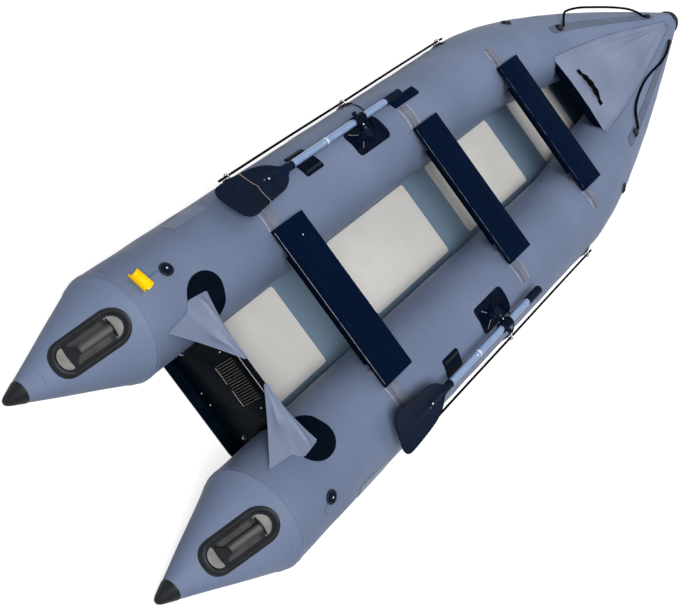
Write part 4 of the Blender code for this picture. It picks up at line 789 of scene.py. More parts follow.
def deck_surface(y, t):
    """t runs -1 to 1 from hem to hem. Between the hems the height is a parabola, on them the tube's own."""
    y, t = np.broadcast_arrays(y, t)
    radius = station(y)[2]
    edge = deck_edge_angle(y)
    hem = np.degrees(DECK_FLANGE / radius)
    inner = on_tube(1, y, edge - hem, PATCH_LIFT + DECK_THICKNESS)
    share = np.abs(t)
    across = np.clip(share / HEM_SHARE, 0, 1)
    crown = DECK_CROWN * inner[..., 0] / TUBE_RADIUS
    flat_z = inner[..., 2] + crown * (1 - across ** 2)
    on_hem = on_tube(1, y, edge - hem * np.clip((1 - share) / 0.14, 0, 1), PATCH_LIFT + DECK_THICKNESS)
    hemmed = share > HEM_SHARE
    x = np.where(hemmed, on_hem[..., 0], inner[..., 0] * across)
    z = np.where(hemmed, on_hem[..., 2], flat_z)
    forward = (y - DECK_START_Y) / (DECK_END_Y - DECK_START_Y)
    fade = np.clip(forward * 1.6 + 0.1, 0, 1)
    crease = np.zeros(across.shape)
    for place, width, rise in DECK_FOLDS:
        fold = np.exp(-np.abs((across - place - 0.05 * np.sin(forward * 5 + place * 9)) / width) ** 1.3)
        crease = crease + rise * MM * fold * fade * np.clip((1 - forward) * 4, 0, 1)
    ripple = 0.5 * MM * np.sin(forward * 34 + t * 2.0) * np.exp(-((across - 0.95) / 0.09) ** 2)
    z = z + np.where(hemmed, 0.0, crease + ripple)
    return np.stack([np.sign(t) * x, y, z], -1)


deck_y = np.linspace(DECK_START_Y, DECK_END_Y, 90)[:, None]
deck_t = np.concatenate([np.linspace(-1, -HEM_SHARE, 7), np.linspace(-0.84, 0.84, 73),
                         np.linspace(HEM_SHARE, 1, 7)])[None]
deck = sheet_mesh("bow_deck_cloth", deck_surface(deck_y, deck_t), DECK_FABRIC, 1.6 * MM, slot="deck_fabric",
                  replaces="bow_deck")
deck_width = np.linalg.norm(np.diff(deck_surface(deck_y, deck_t), axis=1), axis=2).sum(1)

# %% [markdown]
# ### The deck's hems and the strip of painted shade
# A cord or a fold on the deck is a round section carried along a line of the deck's own surface.

# %% Hems and shade strip
def deck_trim(name, t_values, y_values, radius, material, **place):
    """A cord or fold laid along the deck."""
    points = deck_surface(np.asarray(y_values, float), np.asarray(t_values, float)) + [0, 0, -0.2 * MM]
    path = smooth_path(points, 6 * MM)
    return loft(name, sweep(path, circle(10) * radius, (0, 0.02, 1.0)), material, **place)


hem_t = np.linspace(-0.985, 0.985, 31)
deck_trim("deck_aft_hem", hem_t, np.full(31, DECK_START_Y + 2 * MM), 3.2 * MM, DECK_FABRIC,
          slot="deck_fabric")
# A darker cord along each side hem, painted shade
for end in (-1, 1):
    deck_trim(f"deck_side_hem_{end}", np.full(60, end * 0.995),
              np.linspace(DECK_START_Y + 6 * MM, DECK_END_Y, 60), 1.7 * MM, STRIP_FABRIC,
              slot="deck_fabric")

# A black strip hangs under the aft edge as painted shade below the deck
share = np.linspace(-0.80, 0.80, 61)
top_line = deck_surface(np.full(61, DECK_START_Y + 5 * MM), share)
drop = SHADE_STRIP_DEPTH * np.clip((1 - (np.abs(share) / 0.8) ** 8), 0.05, 1)
# Round the strip's section: place along the boat, share of the way down
SHADE_STRIP_SECTION = ((-1.5 * MM, 0), (1.5 * MM, 0), (2 * MM, 0.5), (1.5 * MM, 1), (-1.5 * MM, 1), (-2 * MM, 0.5))
shade_strip_rings = np.stack([top_line + np.stack([0 * drop, np.full(61, dy), -2.0 * MM - drop * down], -1)
                       for dy, down in SHADE_STRIP_SECTION], 1)
loft("deck_edge_strip", shade_strip_rings, BLACK_PATCH, slot="deck_fabric")
print("edge strip hangs", round(float(drop.max()), 3), "m down")

# %% [markdown]
# ### Deck handle
# A strap of black webbing is folded to a round grip in its middle and flat at its sewn ends. It arches over
# the deck's aft part.

# %% Deck handle
HANDLE_SPAN = 0.200
DECK_HANDLE_Y = 1.160
HANDLE_RISE = 0.014


def deck_level(x, y):
    """Height of the deck at x: the surface searched across its width."""
    t = np.linspace(0, 0.86, 60)
    line = deck_surface(np.full(60, y), t)
    return np.interp(np.abs(x), line[:, 0], line[:, 2])


share = np.linspace(-1, 1, 61)
handle_x = share * HANDLE_SPAN / 2
rise = HANDLE_RISE * np.clip(1 - (np.abs(share) / 0.8) ** 3, 0, None)
path = np.stack([handle_x, np.full(61, DECK_HANDLE_Y),
                 deck_level(handle_x, DECK_HANDLE_Y) + rise + 2.2 * MM], -1)
fold = np.clip((0.72 - np.abs(share)) / 0.25, 0, 1)[:, None]
half_width = 11 * MM + 3.0 * MM * fold
half_depth = 1.6 * MM + 7.4 * MM * fold
twist = np.sin(share * 14)[:, None] * 0.35 * fold
flat_x, flat_y = half_width * np.cos(turns(20)), half_depth * np.sin(turns(20))
section = np.stack([flat_x * np.cos(twist) - flat_y * np.sin(twist),
                    flat_x * np.sin(twist) + flat_y * np.cos(twist)], -1)
loft("deck_handle_webbing", sweep(path, section, (0, 0, 1.0)), WEBBING, slot="black_webbing",
     replaces="deck_handle")
for end in (-1, 1):
    x = end * np.linspace(0.076, 0.104, 8)
    spots = np.stack([x, np.full(8, DECK_HANDLE_Y), deck_level(x, DECK_HANDLE_Y) + 1.0 * MM], -1)
    box = np.array([[-15, -0.6], [-15, 0.8], [15, 0.8], [15, -0.6]]) * MM
    loft(f"deck_handle_tab_{end}", sweep(spots, box, (0, 0, 1.0)), BLACK_PATCH, slot="black_webbing")
print("webbing", round(path_length(path), 3), "m long")

# %% [markdown]
# ## Splash flaps
# A three-cornered sheet of the tube's cloth runs from each tube's shoulder to the top of the transom. It is
# welded along the tube and stretched to the transom, so its free edges are straight or a little hollow, its
# apex is rounded, and one soft fold runs down from the apex. It is still one sheet, made as a grid from the
# tube to the tip.

# %% Splash flaps
TRANSOM_RAKE = 0.096
TRANSOM_BOTTOM_Y = -1.530
TRANSOM_THICKNESS = 0.030
TRANSOM_TOP = TUBE_TOP - 0.039
FLAP_TIP_X = 0.052


def rake_y(z):
    """The transom's aft face leans aft with height in a straight line."""
    return TRANSOM_BOTTOM_Y - TRANSOM_RAKE * np.asarray(z)


# Share of the way along the root from its forward end, y, angle round the tube
FLAP_ROOT = np.array(((0.0, -1.527, -24.2), (0.05, -1.534, -22.9), (0.38, -1.606, -20.6),
                      (0.45, -1.619, -21.4), (0.56, -1.638, -30.5), (1.0, -1.740, -35.4)))


def flap_root(t):
    """The welded edge: straight along the tube from the apex, then slanting inboard to its aft end."""
    return np.interp(t, FLAP_ROOT[:, 0], FLAP_ROOT[:, 1]), np.interp(t, FLAP_ROOT[:, 0], FLAP_ROOT[:, 2])


def flap_surface(side, s, t):
    """Straight lines from the root to the tip, with a ridge, a dent and a pull, bell curves of s and t."""
    s, t = np.broadcast_arrays(s, t)
    tip_y = float(rake_y(TRANSOM_TOP)) + TRANSOM_THICKNESS / 2
    tip = np.array([side * FLAP_TIP_X, tip_y, TRANSOM_TOP + 0.010])
    root = on_tube(side, *flap_root(t), 1.1 * MM)
    tip_width = (0.5 - t)[..., None] * np.array([0, 0.012, 0])
    point = root + (tip + tip_width - root) * s[..., None]
    middle = np.sin(math.pi * s)
    point[..., 1] -= 0.012 * middle * np.clip(1 - t * 1.6, 0, 1) ** 2 - 0.006 * middle * t ** 2
    ridge = np.exp(-(np.abs(t - 0.20 + 0.12 * s) / 0.035) ** 1.4)
    ridge = ridge * np.clip(s * 6, 0, 1) * np.clip((0.95 - s) * 1.6, 0, 1)
    dent = np.exp(-((s - 0.50) / 0.20) ** 2 - ((t - 0.52) / 0.20) ** 2)
    pull = np.sin((t - 0.15) * 17) * np.exp(-((s - 0.08) / 0.12) ** 2)
    point[..., 2] += 1.6 * MM + 10 * MM * ridge - 12 * MM * dent + 1.3 * MM * pull
    return point


def flap_grid(side):
    """Rows from the tube (s = 0) to the tip (s = 1), closer near the tube; columns from fore (t = 0)."""
    s = np.linspace(0, 1, 81)[:, None] ** 1.15
    t = np.linspace(0, 1, 61)[None]
    return flap_surface(side, s, t)


for label, side in SIDES.items():
    grid = flap_grid(side)
    flap = sheet_mesh(f"{label}_splash_flap_cloth", grid, FLAP_FABRIC, 1.4 * MM, offset=0.0,
                      slot="tube_fabric", replaces=f"{label}_splash_flap")
    width = float(np.linalg.norm(np.diff(grid[0], axis=0), axis=1).sum())
    edge = smooth_path(grid[:, 0] + [0, 0, 0.4 * MM], 6 * MM)
    loft(f"{label}_flap_hem", sweep(edge, circle(8) * 1.7 * MM, (0, 0, 1.0)), FLAP_FABRIC, slot="tube_fabric")

# %% [markdown]
# ## Air floor
# The floor is drop-stitch cloth: thousands of threads hold its top and bottom parallel, so it is flat with
# round sides. Four pale textured pads are glued on it, with bands of bare cloth between them. The forward end
# narrows under the deck.

# %% Air floor
SKIN_THICKNESS = 6 * MM
FLAT_HALF_WIDTH = 0.1988
FLOOR_THICKNESS = 0.0912
FLOOR_END_Y = 1.524
PAD_HALF_WIDTH = 0.178
FLOOR_PADS = ((-1.505, -1.022), (-0.655, -0.070), (0.119, 0.697), (0.915, 1.290))
FLOOR_RISE_Y = BOW_START_Y + BOW_LENGTH * 0.26
FLOOR_START_Y = TRANSOM_BOTTOM_Y + TRANSOM_THICKNESS + 0.6 * MM


def floor_lift(y):
    """Height of the floor's underside: level, then rising with the keel at the bow."""
    share = np.clip((np.asarray(y) - FLOOR_RISE_Y) / (HALF_LENGTH - FLOOR_RISE_Y), 0, 1)
    return SKIN_THICKNESS + 0.5 * MM + 0.30 * share ** 2.2


def floor_half(y, z):
    """Half width at a height: the plan narrows forward, the sides are half round, short of the tube."""
    y, z = np.broadcast_arrays(y, z)
    radius = FLOOR_THICKNESS / 2
    share = np.clip((y - FLOOR_RISE_Y) / (FLOOR_END_Y - FLOOR_RISE_Y), 0, 1)
    full = (FLAT_HALF_WIDTH + radius) * np.sqrt(np.clip(1 - share ** 2.4, 0.03, 1))
    height = np.clip((z - floor_lift(y) - radius) / radius, -1, 1)
    side = full - radius * (1 - np.sqrt(1 - height ** 2))
    x, centre, tube = station(y)
    reach = np.clip((tube + 2 * MM) ** 2 - (z - centre) ** 2, 0, None)
    return np.clip(np.minimum(side, x - np.sqrt(reach)), 5 * MM, None)


def floor_rings():
    """Each ring is a flat top, a half-round side, a flat underside and the other side, mirrored."""
    y = np.concatenate([[FLOOR_START_Y, FLOOR_START_Y + 0.004],
                        np.linspace(FLOOR_START_Y + 0.02, FLOOR_RISE_Y, 70),
                        np.linspace(FLOOR_RISE_Y + 0.02, FLOOR_END_Y, 34)])[:, None]
    turn = np.linspace(0, math.pi, 25)[None]
    radius = FLOOR_THICKNESS / 2
    z = floor_lift(y) + radius + radius * np.cos(turn)
    x = floor_half(y, z)
    right = np.stack([x, np.broadcast_to(y, x.shape), z], -1)
    left = right[:, ::-1] * [-1, 1, 1]
    flat_top = np.linspace(1, -1, 17)[1:-1]
    top = np.stack([right[:, :1, 0] * flat_top, np.broadcast_to(y, (len(y), 15)),
                    np.broadcast_to(z[:, :1] + 0.2 * MM, (len(y), 15))], -1)
    return np.concatenate([top[:, ::-1], right, left], axis=1)


floor = loft("air_floor_cloth", floor_rings(), FLOOR_FABRIC, slot="floor_fabric", replaces="air_floor")
print("air floor", round(FLOOR_END_Y - FLOOR_START_Y, 3), "m long")

# %% [markdown]
# ### Floor pads
# A pad is a thin sheet with round corners and a soft raised edge. It narrows with the floor at the bow.

# %% Floor pads
# Share of the outline and height in mm, from the middle of the underside round the edge to the middle on top
PAD_LEVELS = ((0.0, -0.3), (0.5, -0.3), (1.0, -0.3), (1.0, 1.2), (0.997, 2.2), (0.988, 2.6), (0.965, 2.5),
              (0.9, 2.4), (0.75, 2.4), (0.55, 2.4), (0.3, 2.4), (0.0, 2.4))


def floor_pad(number, start, end):
    """Rings of the outline, squeezed to the floor's half width at each y."""
    outline = rounded(end - start, 2 * PAD_HALF_WIDTH, 0.012, 160)
    middle = (start + end) / 2
    rings = []
    for share, height in PAD_LEVELS:
        y = middle + outline[:, 0] * share
        room = np.minimum(PAD_HALF_WIDTH, floor_half(y, floor_lift(y) + FLOOR_THICKNESS) - 3 * MM)
        x = outline[:, 1] / PAD_HALF_WIDTH * room * share
        rings.append(np.stack([x, y, floor_lift(y) + FLOOR_THICKNESS + height * MM], -1))
    return loft(f"floor_pad_{number}", rings, PAD_FINISH, caps=False, slot="floor_fabric")


for number, (start, end) in enumerate(FLOOR_PADS, 1):
    floor_pad(number, start, end)
    print("pad", number, round(end - start, 3), "m long")

# %% [markdown]
# ## Bottom
# The fabric bottom is welded to the tubes' undersides. Its CAD solid has the right shape, so it stays and
# only takes the cloth's finish.

# %% Bottom
def finish_node(name, material):
    """Gives a CAD node's object a material in every slot."""
    target = bpy.data.objects[name]
    if not target.material_slots:
        target.data.materials.append(material)
    for slot in target.material_slots:
        slot.material = material


finish_node("bottom_skin", BOTTOM_FABRIC)

# %% [markdown]
# ## Boards
# Seats, the short side board and the transom are plywood, sawn, rounded over with a router and painted. A
# small board is an outline with round corners and a round-over on both faces. Screws, bolts and rivets are
# domed heads.

# %% Boards and rivets
ROUND_OVER = 3 * MM


def board_rings(outline, thickness, axes, centre):
    """A flat board: rings inset by r (1 - sin t) and raised by r (1 - cos t) at both faces."""
    reach = np.abs(outline).max(0)
    rows = [(0.0, -thickness / 2), (0.6, -thickness / 2)]
    for t in (0.0, 0.35, 0.7, 1.05, math.pi / 2):
        rows.append((1 - ROUND_OVER * (1 - math.sin(t)), -thickness / 2 + ROUND_OVER * (1 - math.cos(t))))
    rows += [(share, -height) for share, height in rows[::-1]]
    rings = []
    for share, height in rows:
        if share in (0.0, 0.6):
            scaled = outline * share
        else:
            scaled = outline * (reach - (1 - share)) / reach
        rings.append(centre + scaled[:, :1] * axes[0] + scaled[:, 1:] * axes[1]
                     + height * np.asarray(axes[2]))
    return np.array(rings)


def board(name, length, width, thickness, corner, axes, centre, material, **place):
    """A board of the given sizes; axes are its length, width and thickness directions."""
    rings = board_rings(rounded(length, width, corner, 120), thickness, np.asarray(axes, float),
                        np.asarray(centre, float))
    return loft(name, rings, material, caps=False, **place)


def rivet(name, point, out, radius, material, body="hull", height=1.2 * MM, **place):
    """A domed head: circles that shrink along a quarter of an ellipse."""
    out = np.asarray(out, float) / np.linalg.norm(out)
    across = np.cross(out, [0.3, 0.5, 0.8])
    across /= np.linalg.norm(across)
    along = np.cross(out, across)
    ring = circle(20)
    spoke = ring[:, :1] * across + ring[:, 1:] * along
    rings = [np.asarray(point) + radius * math.cos(t) * spoke + out * height * math.sin(t)
             for t in (0.0, 0.4, 0.8, 1.2, 1.5)]
    rings.insert(0, rings[0] - out * 1.0 * MM)
    return loft(name, rings, material, body=body, **place)


print("round-over", round(ROUND_OVER / MM, 1), "mm")

# %% [markdown]
# ### Seats
# A bench is its end view carried along its length and drawn in a little at both ends. The end view has a
# round-over at each corner and, underneath, the groove that rides on the rails' fins. A black batten under
# the aft edge is painted shade. Pale lines on the aft top edges are painted highlights, most on the aft seat,
# where one screw head shows too.

# %% Seats
SEAT_YS = (-1.070, -0.098, 0.641)
SEAT_LENGTH = 0.680
SEAT_WIDTH = 0.1765
SEAT_THICKNESS = 0.016
SEAT_BOTTOM = 0.4146
RAIL_SHIFT = 0.062
RAIL_FIN_HEIGHT = 8 * MM
RAIL_FIN_WIDTH = 5 * MM
GROOVE_GAP = 0.3 * MM
END_ROUND = 2.4 * MM
# Radius and finish of the pale line on each seat's aft top edge, a painted highlight
SEAT_HIGHLIGHT_RADII = (1.0 * MM, 0.7 * MM, 0.6 * MM)
SEAT_HIGHLIGHT_FINISHES = (EDGE_HIGHLIGHT, GREY_RUBBER, RAIL_STRIP)
# Black batten under the aft edge that paints the shade there
SHADE_BATTEN_WIDTH = 0.020
SHADE_BATTEN_HEIGHT = 0.018
SHADE_BATTEN_REACH = 0.236


def seat_section(inset):
    """The board's end view as (y, z) from its middle and underside, smaller by an inset save the groove."""
    w, top, bottom = SEAT_WIDTH / 2 - inset, SEAT_THICKNESS - 0.2 * MM - inset, 0.2 * MM + inset
    turn = np.linspace(0, math.pi / 2, 6)
    curve = ROUND_OVER * np.stack([np.sin(turn), np.cos(turn)], -1)
    aft_low = [-w + ROUND_OVER, bottom + ROUND_OVER] - curve[::-1]
    fore_low = [w - ROUND_OVER, bottom + ROUND_OVER] + curve * [1, -1]
    fore_high = [w - ROUND_OVER, top - ROUND_OVER] + curve[::-1]
    aft_high = [ROUND_OVER - w, top - ROUND_OVER] + curve * [-1, 1]
    half = RAIL_FIN_WIDTH / 2 + GROOVE_GAP
    roof = RAIL_FIN_HEIGHT + 1.2 * MM
    groove = [(-RAIL_SHIFT - half, bottom), (-RAIL_SHIFT - half, roof), (-RAIL_SHIFT + half, roof),
              (-RAIL_SHIFT + half, bottom)]
    return np.concatenate([aft_low, groove, fore_low, fore_high, aft_high])


def seat_rings(seat_y):
    """Sections from one end to the other: at each end they are inset by r (1 - sin t) over r (1 - cos t)."""
    rings = []
    for t in (0.0, 0.4, 0.8, 1.2, math.pi / 2):
        section = seat_section(END_ROUND * (1 - math.sin(t)))
        x = SEAT_LENGTH / 2 - END_ROUND * (1 - math.cos(t))
        rings.append(np.column_stack([np.full(len(section), x), seat_y + section[:, 0],
                                      SEAT_BOTTOM + section[:, 1]]))
    return [ring * [-1, 1, 1] for ring in rings] + rings[::-1]


FLAT_AXES = ((1, 0, 0), (0, 1, 0), (0, 0, 1))
for number, seat_y in enumerate(SEAT_YS, 1):
    body = f"seat_{number}"
    loft(f"seat_{number}_board", seat_rings(seat_y), SEAT_PAINT, body=body, slot="seat_paint",
         replaces=f"seat_{number}")
    top = SEAT_BOTTOM + SEAT_THICKNESS
    # pale line on the aft top edge: painted highlight
    x = np.linspace(-SEAT_LENGTH / 2 + 0.012, SEAT_LENGTH / 2 - 0.012, 40)
    edge = np.stack([x, np.full(40, seat_y - SEAT_WIDTH / 2 + 1.3 * MM), np.full(40, top - 1.4 * MM)], -1)
    width = SEAT_HIGHLIGHT_RADII[number - 1] * (1 + 0.25 * np.sin(x * 37) * np.sin(x * 91))
    loft(f"seat_{number}_worn_edge", sweep(edge, circle(8)[None] * width[:, None, None], (0, 0, 1.0)),
         SEAT_HIGHLIGHT_FINISHES[number - 1], body=body, slot="seat_paint")
    # black batten under the aft edge: painted shade
    painted_shade_batten = (0, seat_y - SEAT_WIDTH / 2 + 2 * MM + SHADE_BATTEN_WIDTH / 2,
              SEAT_BOTTOM - SHADE_BATTEN_HEIGHT / 2 + 0.5 * MM)
    board(f"seat_{number}_batten", 2 * SHADE_BATTEN_REACH, SHADE_BATTEN_WIDTH, SHADE_BATTEN_HEIGHT, 3 * MM, FLAT_AXES, painted_shade_batten,
          TRANSOM_PAINT, body=body, slot="seat_paint")
    print("seat", number, "top at", round(top, 3))
screw_spot = (-0.266, SEAT_YS[0] + 0.020, SEAT_BOTTOM + SEAT_THICKNESS - 0.6 * MM)
rivet("seat_1_screw", screw_spot, (0, 0, 1), 3.4 * MM, STEEL, body="seat_1", slot="seat_paint")

# %% [markdown]
# ### Seat rails
# A strip of welded cloth carries a fin that fits the seat's groove. The strip is mauve grey, and aft of the
# fin it narrows towards its inboard end. A pale line along the aft border is a painted highlight, and on the
# middle rails one runs along the fore border too.

# %% Seat rails
RAIL_AFT = 0.022
RAIL_FORE = 0.048
RAIL_BASE = 3 * MM
RAIL_ANGLES = (-37.0, 14.6)
# Pale lines of painted highlight along the strips' borders
HIGHLIGHT_ANGLES = (-13.5, 14.6)
HIGHLIGHT_SECTION = ((-1.6 * MM, 2 * MM), (1.6 * MM, 2 * MM), (1.2 * MM, 3.0 * MM), (-1.2 * MM, 3.0 * MM))
HIGHLIGHTED_BORDERS = {1: ("aft",), 2: ("aft", "fore"), 3: ("aft",)}


def on_strip(side, y, dy, angles, height):
    """Points round the tube at one height, dy forward of the rail's fin."""
    return on_tube(side, np.full(len(angles), y + dy), angles, height)


for label, side in SIDES.items():
    for number, seat_y in enumerate(SEAT_YS, 1):
        y = seat_y - RAIL_SHIFT
        angles = np.linspace(*RAIL_ANGLES, 60)
        a, w, f, top = RAIL_AFT, RAIL_FORE, RAIL_FIN_WIDTH / 2, RAIL_BASE + RAIL_FIN_HEIGHT
        profile = ((-a, 0.0), (0, 0.0), (w, 0.0), (w, 1.2 * MM), (w - 2 * MM, 2.2 * MM),
                   (w - 14 * MM, RAIL_BASE), (f, RAIL_BASE), (f, top - 1 * MM), (f - 1 * MM, top),
                   (1 * MM - f, top), (-f, top - 1 * MM), (-f, RAIL_BASE), (10 * MM - a, RAIL_BASE),
                   (2 * MM - a, 2.2 * MM), (-a, 1.2 * MM))
        aft_share = 0.35 + 0.65 * np.clip((angles + 24) / 9, 0, 1)
        rings = np.stack([on_strip(side, y, dy * aft_share if dy < -f else dy, angles, 0.3 * MM + h)
                          for dy, h in profile], 1)
        loft(f"{label}_seat_rail_{number}_strip", rings, RAIL_STRIP, slot="rail_strip",
             replaces=f"{label}_seat_rail_{number}")
        borders = {"aft": 2 * MM - a, "fore": w - 3 * MM}
        # pale lines on the borders: painted highlights
        for border in HIGHLIGHTED_BORDERS[number]:
            line = np.stack([on_strip(side, y, borders[border] + du, np.linspace(*HIGHLIGHT_ANGLES, 34), h)
                             for du, h in HIGHLIGHT_SECTION], 1)
            loft(f"{label}_rail_{number}_{border}_line", line, RAIL_HIGHLIGHT, slot="rail_strip")
print("fins", round((RAIL_BASE + RAIL_FIN_HEIGHT) / MM, 1), "mm above the tube")

# %% [markdown]
# ### Side board
# A short board of the same paint is bonded on the port tube beside the middle seat.

# %% Side board
SIDE_BOARD_Y = -0.092
SIDE_BOARD_ANGLE = 22.8
across, along, out = tube_axes(-1, SIDE_BOARD_Y, SIDE_BOARD_ANGLE)
side_board_middle = on_tube(-1, SIDE_BOARD_Y, SIDE_BOARD_ANGLE, 0.3 * MM + 5 * MM)
board("side_board_plank", 0.186, 0.044, 9.6 * MM, 6 * MM, (along, across, out), side_board_middle, SEAT_PAINT,
      slot="seat_paint", replaces="port_side_board")
print("side board's middle at", side_board_middle.round(3).tolist())

# %% [markdown]
# ### Transom
# The transom is a plank shaped to the space between the tubes, raked aft, with its top edge rounded over.
# Pale lines along its top edges are painted highlights. Its outline runs up the inside of the tubes from the
# bottom cloth.

# %% Transom
BILGE_RADIUS = 0.0533
TRANSOM_EDGE = 4 * MM
# Depth in mm of each ring from the aft face: close together where the edges are rounded over
TRANSOM_DEPTHS = (0.0, 1.2, 2.6, 4.0, 26.0, 27.4, 28.8, 30.0)


def transom_outline():
    """Half from the keel up the tube's inner side to the shoulder, then mirrored."""
    bilge = BILGE_RADIUS - SKIN_THICKNESS
    corner = np.linspace(0, 1.05, 6)
    low_z = SKIN_THICKNESS + 0.6 * MM + bilge * (1 - np.cos(corner))
    low = np.stack([FLAT_HALF_WIDTH + bilge * np.sin(corner), low_z], -1)
    angles = np.linspace(-133.0, -43.0, 40)
    tube_side = on_tube(1, np.full(40, 0.0), angles, 0.8 * MM)[:, [0, 2]]
    tube_side = tube_side[tube_side[:, 1] < TRANSOM_TOP - 0.006]
    shoulder = np.array([[tube_side[-1, 0] - 0.006, TRANSOM_TOP - 0.002],
                         [tube_side[-1, 0] - 0.014, TRANSOM_TOP]])
    half = np.concatenate([low, tube_side, shoulder])
    return np.concatenate([half, half[::-1] * [-1, 1]])


outline = even(transom_outline(), 260)
middle = outline.mean(0)
rings = []
for depth in TRANSOM_DEPTHS:
    into = min(depth, TRANSOM_DEPTHS[-1] - depth) * MM
    inset = 0.0
    if into < TRANSOM_EDGE:
        inset = TRANSOM_EDGE - math.sqrt(max(TRANSOM_EDGE ** 2 - (TRANSOM_EDGE - into) ** 2, 0))
    reach = np.abs(outline - middle).max(0)
    flat = middle + (outline - middle) * (reach - inset) / reach
    rings.append(np.stack([flat[:, 0], rake_y(flat[:, 1]) + depth * MM, flat[:, 1]], -1))
loft("transom_board", rings, TRANSOM_PAINT, slot="painted_transom", replaces="transom")
# Pale lines along the aft and fore top edges: painted highlights
x = np.linspace(-0.235, 0.235, 60)
for name, shift, radius in (("aft", 2.2 * MM, 1.5 * MM), ("fore", 27.8 * MM, 1.1 * MM)):
    painted_highlight = np.stack([x, float(rake_y(TRANSOM_TOP)) + shift + 0 * x, TRANSOM_TOP - 1.2 * MM + 0 * x], -1)
    loft(f"transom_worn_{name}_edge", sweep(painted_highlight, circle(8) * radius, (0, 0, 1.0)), EDGE_HIGHLIGHT,
         slot="painted_transom")
print("transom's width and height", np.ptp(outline, axis=0).round(3).tolist())

# %% [markdown]
# ### Transom fittings
# Two eye bolts for the motor's safety line and four bolt heads stand on the transom's aft face. A black seal
# of rubber coated cloth is glued round its foot, where it meets the bottom and the tubes.

# %% Transom fittings
AFT = np.array([0.0, -1.0, -TRANSOM_RAKE]) / math.hypot(1, TRANSOM_RAKE)
# Round the seal's section: y, and mm proud of the transom's outline
FOOT_SECTION = ((-1.5312, 0.2), (-1.5312, 9.0), (-1.5330, 9.0), (-1.5345, 3.6), (-1.5400, 2.4),
                (-1.5640, 2.2), (-1.5668, 1.2), (-1.5672, -6.0), (-1.5655, -6.0), (-1.5650, 0.2))


def on_transom(x, z, proud=0.0):
    """A point on the aft face, moved straight out of it."""
    return np.array([x, float(rake_y(z)), z]) + AFT * proud


for number, (x, z) in enumerate(((-0.026, 0.041), (0.117, 0.300), (-0.117, 0.300), (0.026, 0.041))):
    rivet(f"transom_bolt_{number}", on_transom(x, z), AFT, 3.6 * MM, STEEL, height=2 * MM,
          slot="painted_transom")
for label, side in SIDES.items():
    spot = on_transom(side * 0.182, 0.106)
    rivet(f"{label}_eye_plate", spot, AFT, 8 * MM, NYLON, height=2.0 * MM, slot="painted_transom")
    turn = np.linspace(0, math.pi, 17)[:, None]
    eye = spot + 7 * MM * np.cos(turn) * np.array([1.0, 0, 0]) + (1.6 * MM + 11 * MM * np.sin(turn)) * AFT
    loft(f"{label}_eye_bolt", sweep(eye, circle(12) * 1.9 * MM, (0.1, 0.2, 1.0)), STEEL,
         slot="painted_transom")

low = transom_outline()
low = low[(low[:, 0] >= 0) & (low[:, 1] < 0.10)]
low = np.concatenate([low[::-1] * [-1, 1], low])
way = np.gradient(low, axis=0)
way /= np.linalg.norm(way, axis=1, keepdims=True)
inward = np.stack([-way[:, 1], way[:, 0]], -1)
foot = []
for y, proud in FOOT_SECTION:
    spot = low + inward * proud * MM
    foot.append(np.stack([spot[:, 0], np.full(len(spot), y), np.maximum(spot[:, 1], 0.6 * MM)], -1))
loft("transom_foot_seal", np.stack(foot, 1), BLACK_PATCH, slot="black_rubber")
print("foot seal", round(path_length(low), 3), "m long")

# %% [markdown]
# ### Motor pad
# The outboard clamps on a moulded rubber pad with 17 upright ribs, so that the clamp can't slip sideways. The
# ribs stand above a plate with a plain border. Pale lines along their crests are painted highlights, and so
# are two pale stretches of the lower edge.

# %% Motor pad
PAD_WIDTH = 0.172
PAD_TOP = TUBE_TOP - 0.053
PAD_BOTTOM = PAD_TOP - 0.134
PAD_RIBS = 17
# Pale lines along the rib crests, painted highlights
CREST_PROUD = 9.1 * MM
CREST_RADIUS = 0.65 * MM
# One rib across: share of the pitch, height as a share of the plate's up to 1, past 1 as the rib's own
RIB_SHARES = ((0.15, 1.0), (0.3, 1.12), (0.38, 1.45), (0.5, 1.5), (0.62, 1.45), (0.7, 1.12), (0.85, 1.0))
# Two pale stretches of the lower edge, painted highlights
LIP_HIGHLIGHTS = ((-0.079, -0.010), (0.017, 0.083))
pitch = PAD_WIDTH / PAD_RIBS
z = np.concatenate([[PAD_BOTTOM, PAD_BOTTOM + 1 * MM, PAD_BOTTOM + 9 * MM, PAD_BOTTOM + 11 * MM],
                    np.linspace(PAD_BOTTOM + 14 * MM, PAD_TOP - 12 * MM, 12),
                    [PAD_TOP - 9 * MM, PAD_TOP - 7 * MM, PAD_TOP - 1 * MM, PAD_TOP]])
rib = np.array([0.0, 0.0, 0.0, 0.2] + [1.0] * 12 + [0.2, 0.0, 0.0, 0.0])
wall = np.array([4.6, 5.6] + [6.0] * 16 + [5.6, 4.6]) * MM
comb_x, comb_rise = [-PAD_WIDTH / 2, -PAD_WIDTH / 2 + 0.5 * MM], [0.0, 0.9]
for k in range(PAD_RIBS):
    for share, height in RIB_SHARES:
        comb_x.append(-PAD_WIDTH / 2 + (k + share) * pitch)
        comb_rise.append(height)
comb_x += [PAD_WIDTH / 2 - 0.5 * MM, PAD_WIDTH / 2]
comb_rise += [0.9, 0.0]
comb_x, comb_rise = np.array(comb_x), np.array(comb_rise)
back = np.linspace(PAD_WIDTH / 2, -PAD_WIDTH / 2, 12)[1:-1]
all_x = np.concatenate([comb_x, back])
rings = []
for height, ribbed, depth in zip(z, rib, wall):
    proud = np.minimum(comb_rise, 1.0) * depth + np.clip(comb_rise - 1, 0, None) * 6 * MM * ribbed
    proud = np.concatenate([proud, np.zeros(len(back))]) + 0.3 * MM
    rings.append(np.stack([all_x, float(rake_y(height)) - proud, np.full(len(all_x), height)], -1))
loft("motor_pad_rubber", rings, DULL_RUBBER, slot="black_rubber", replaces="motor_pad")
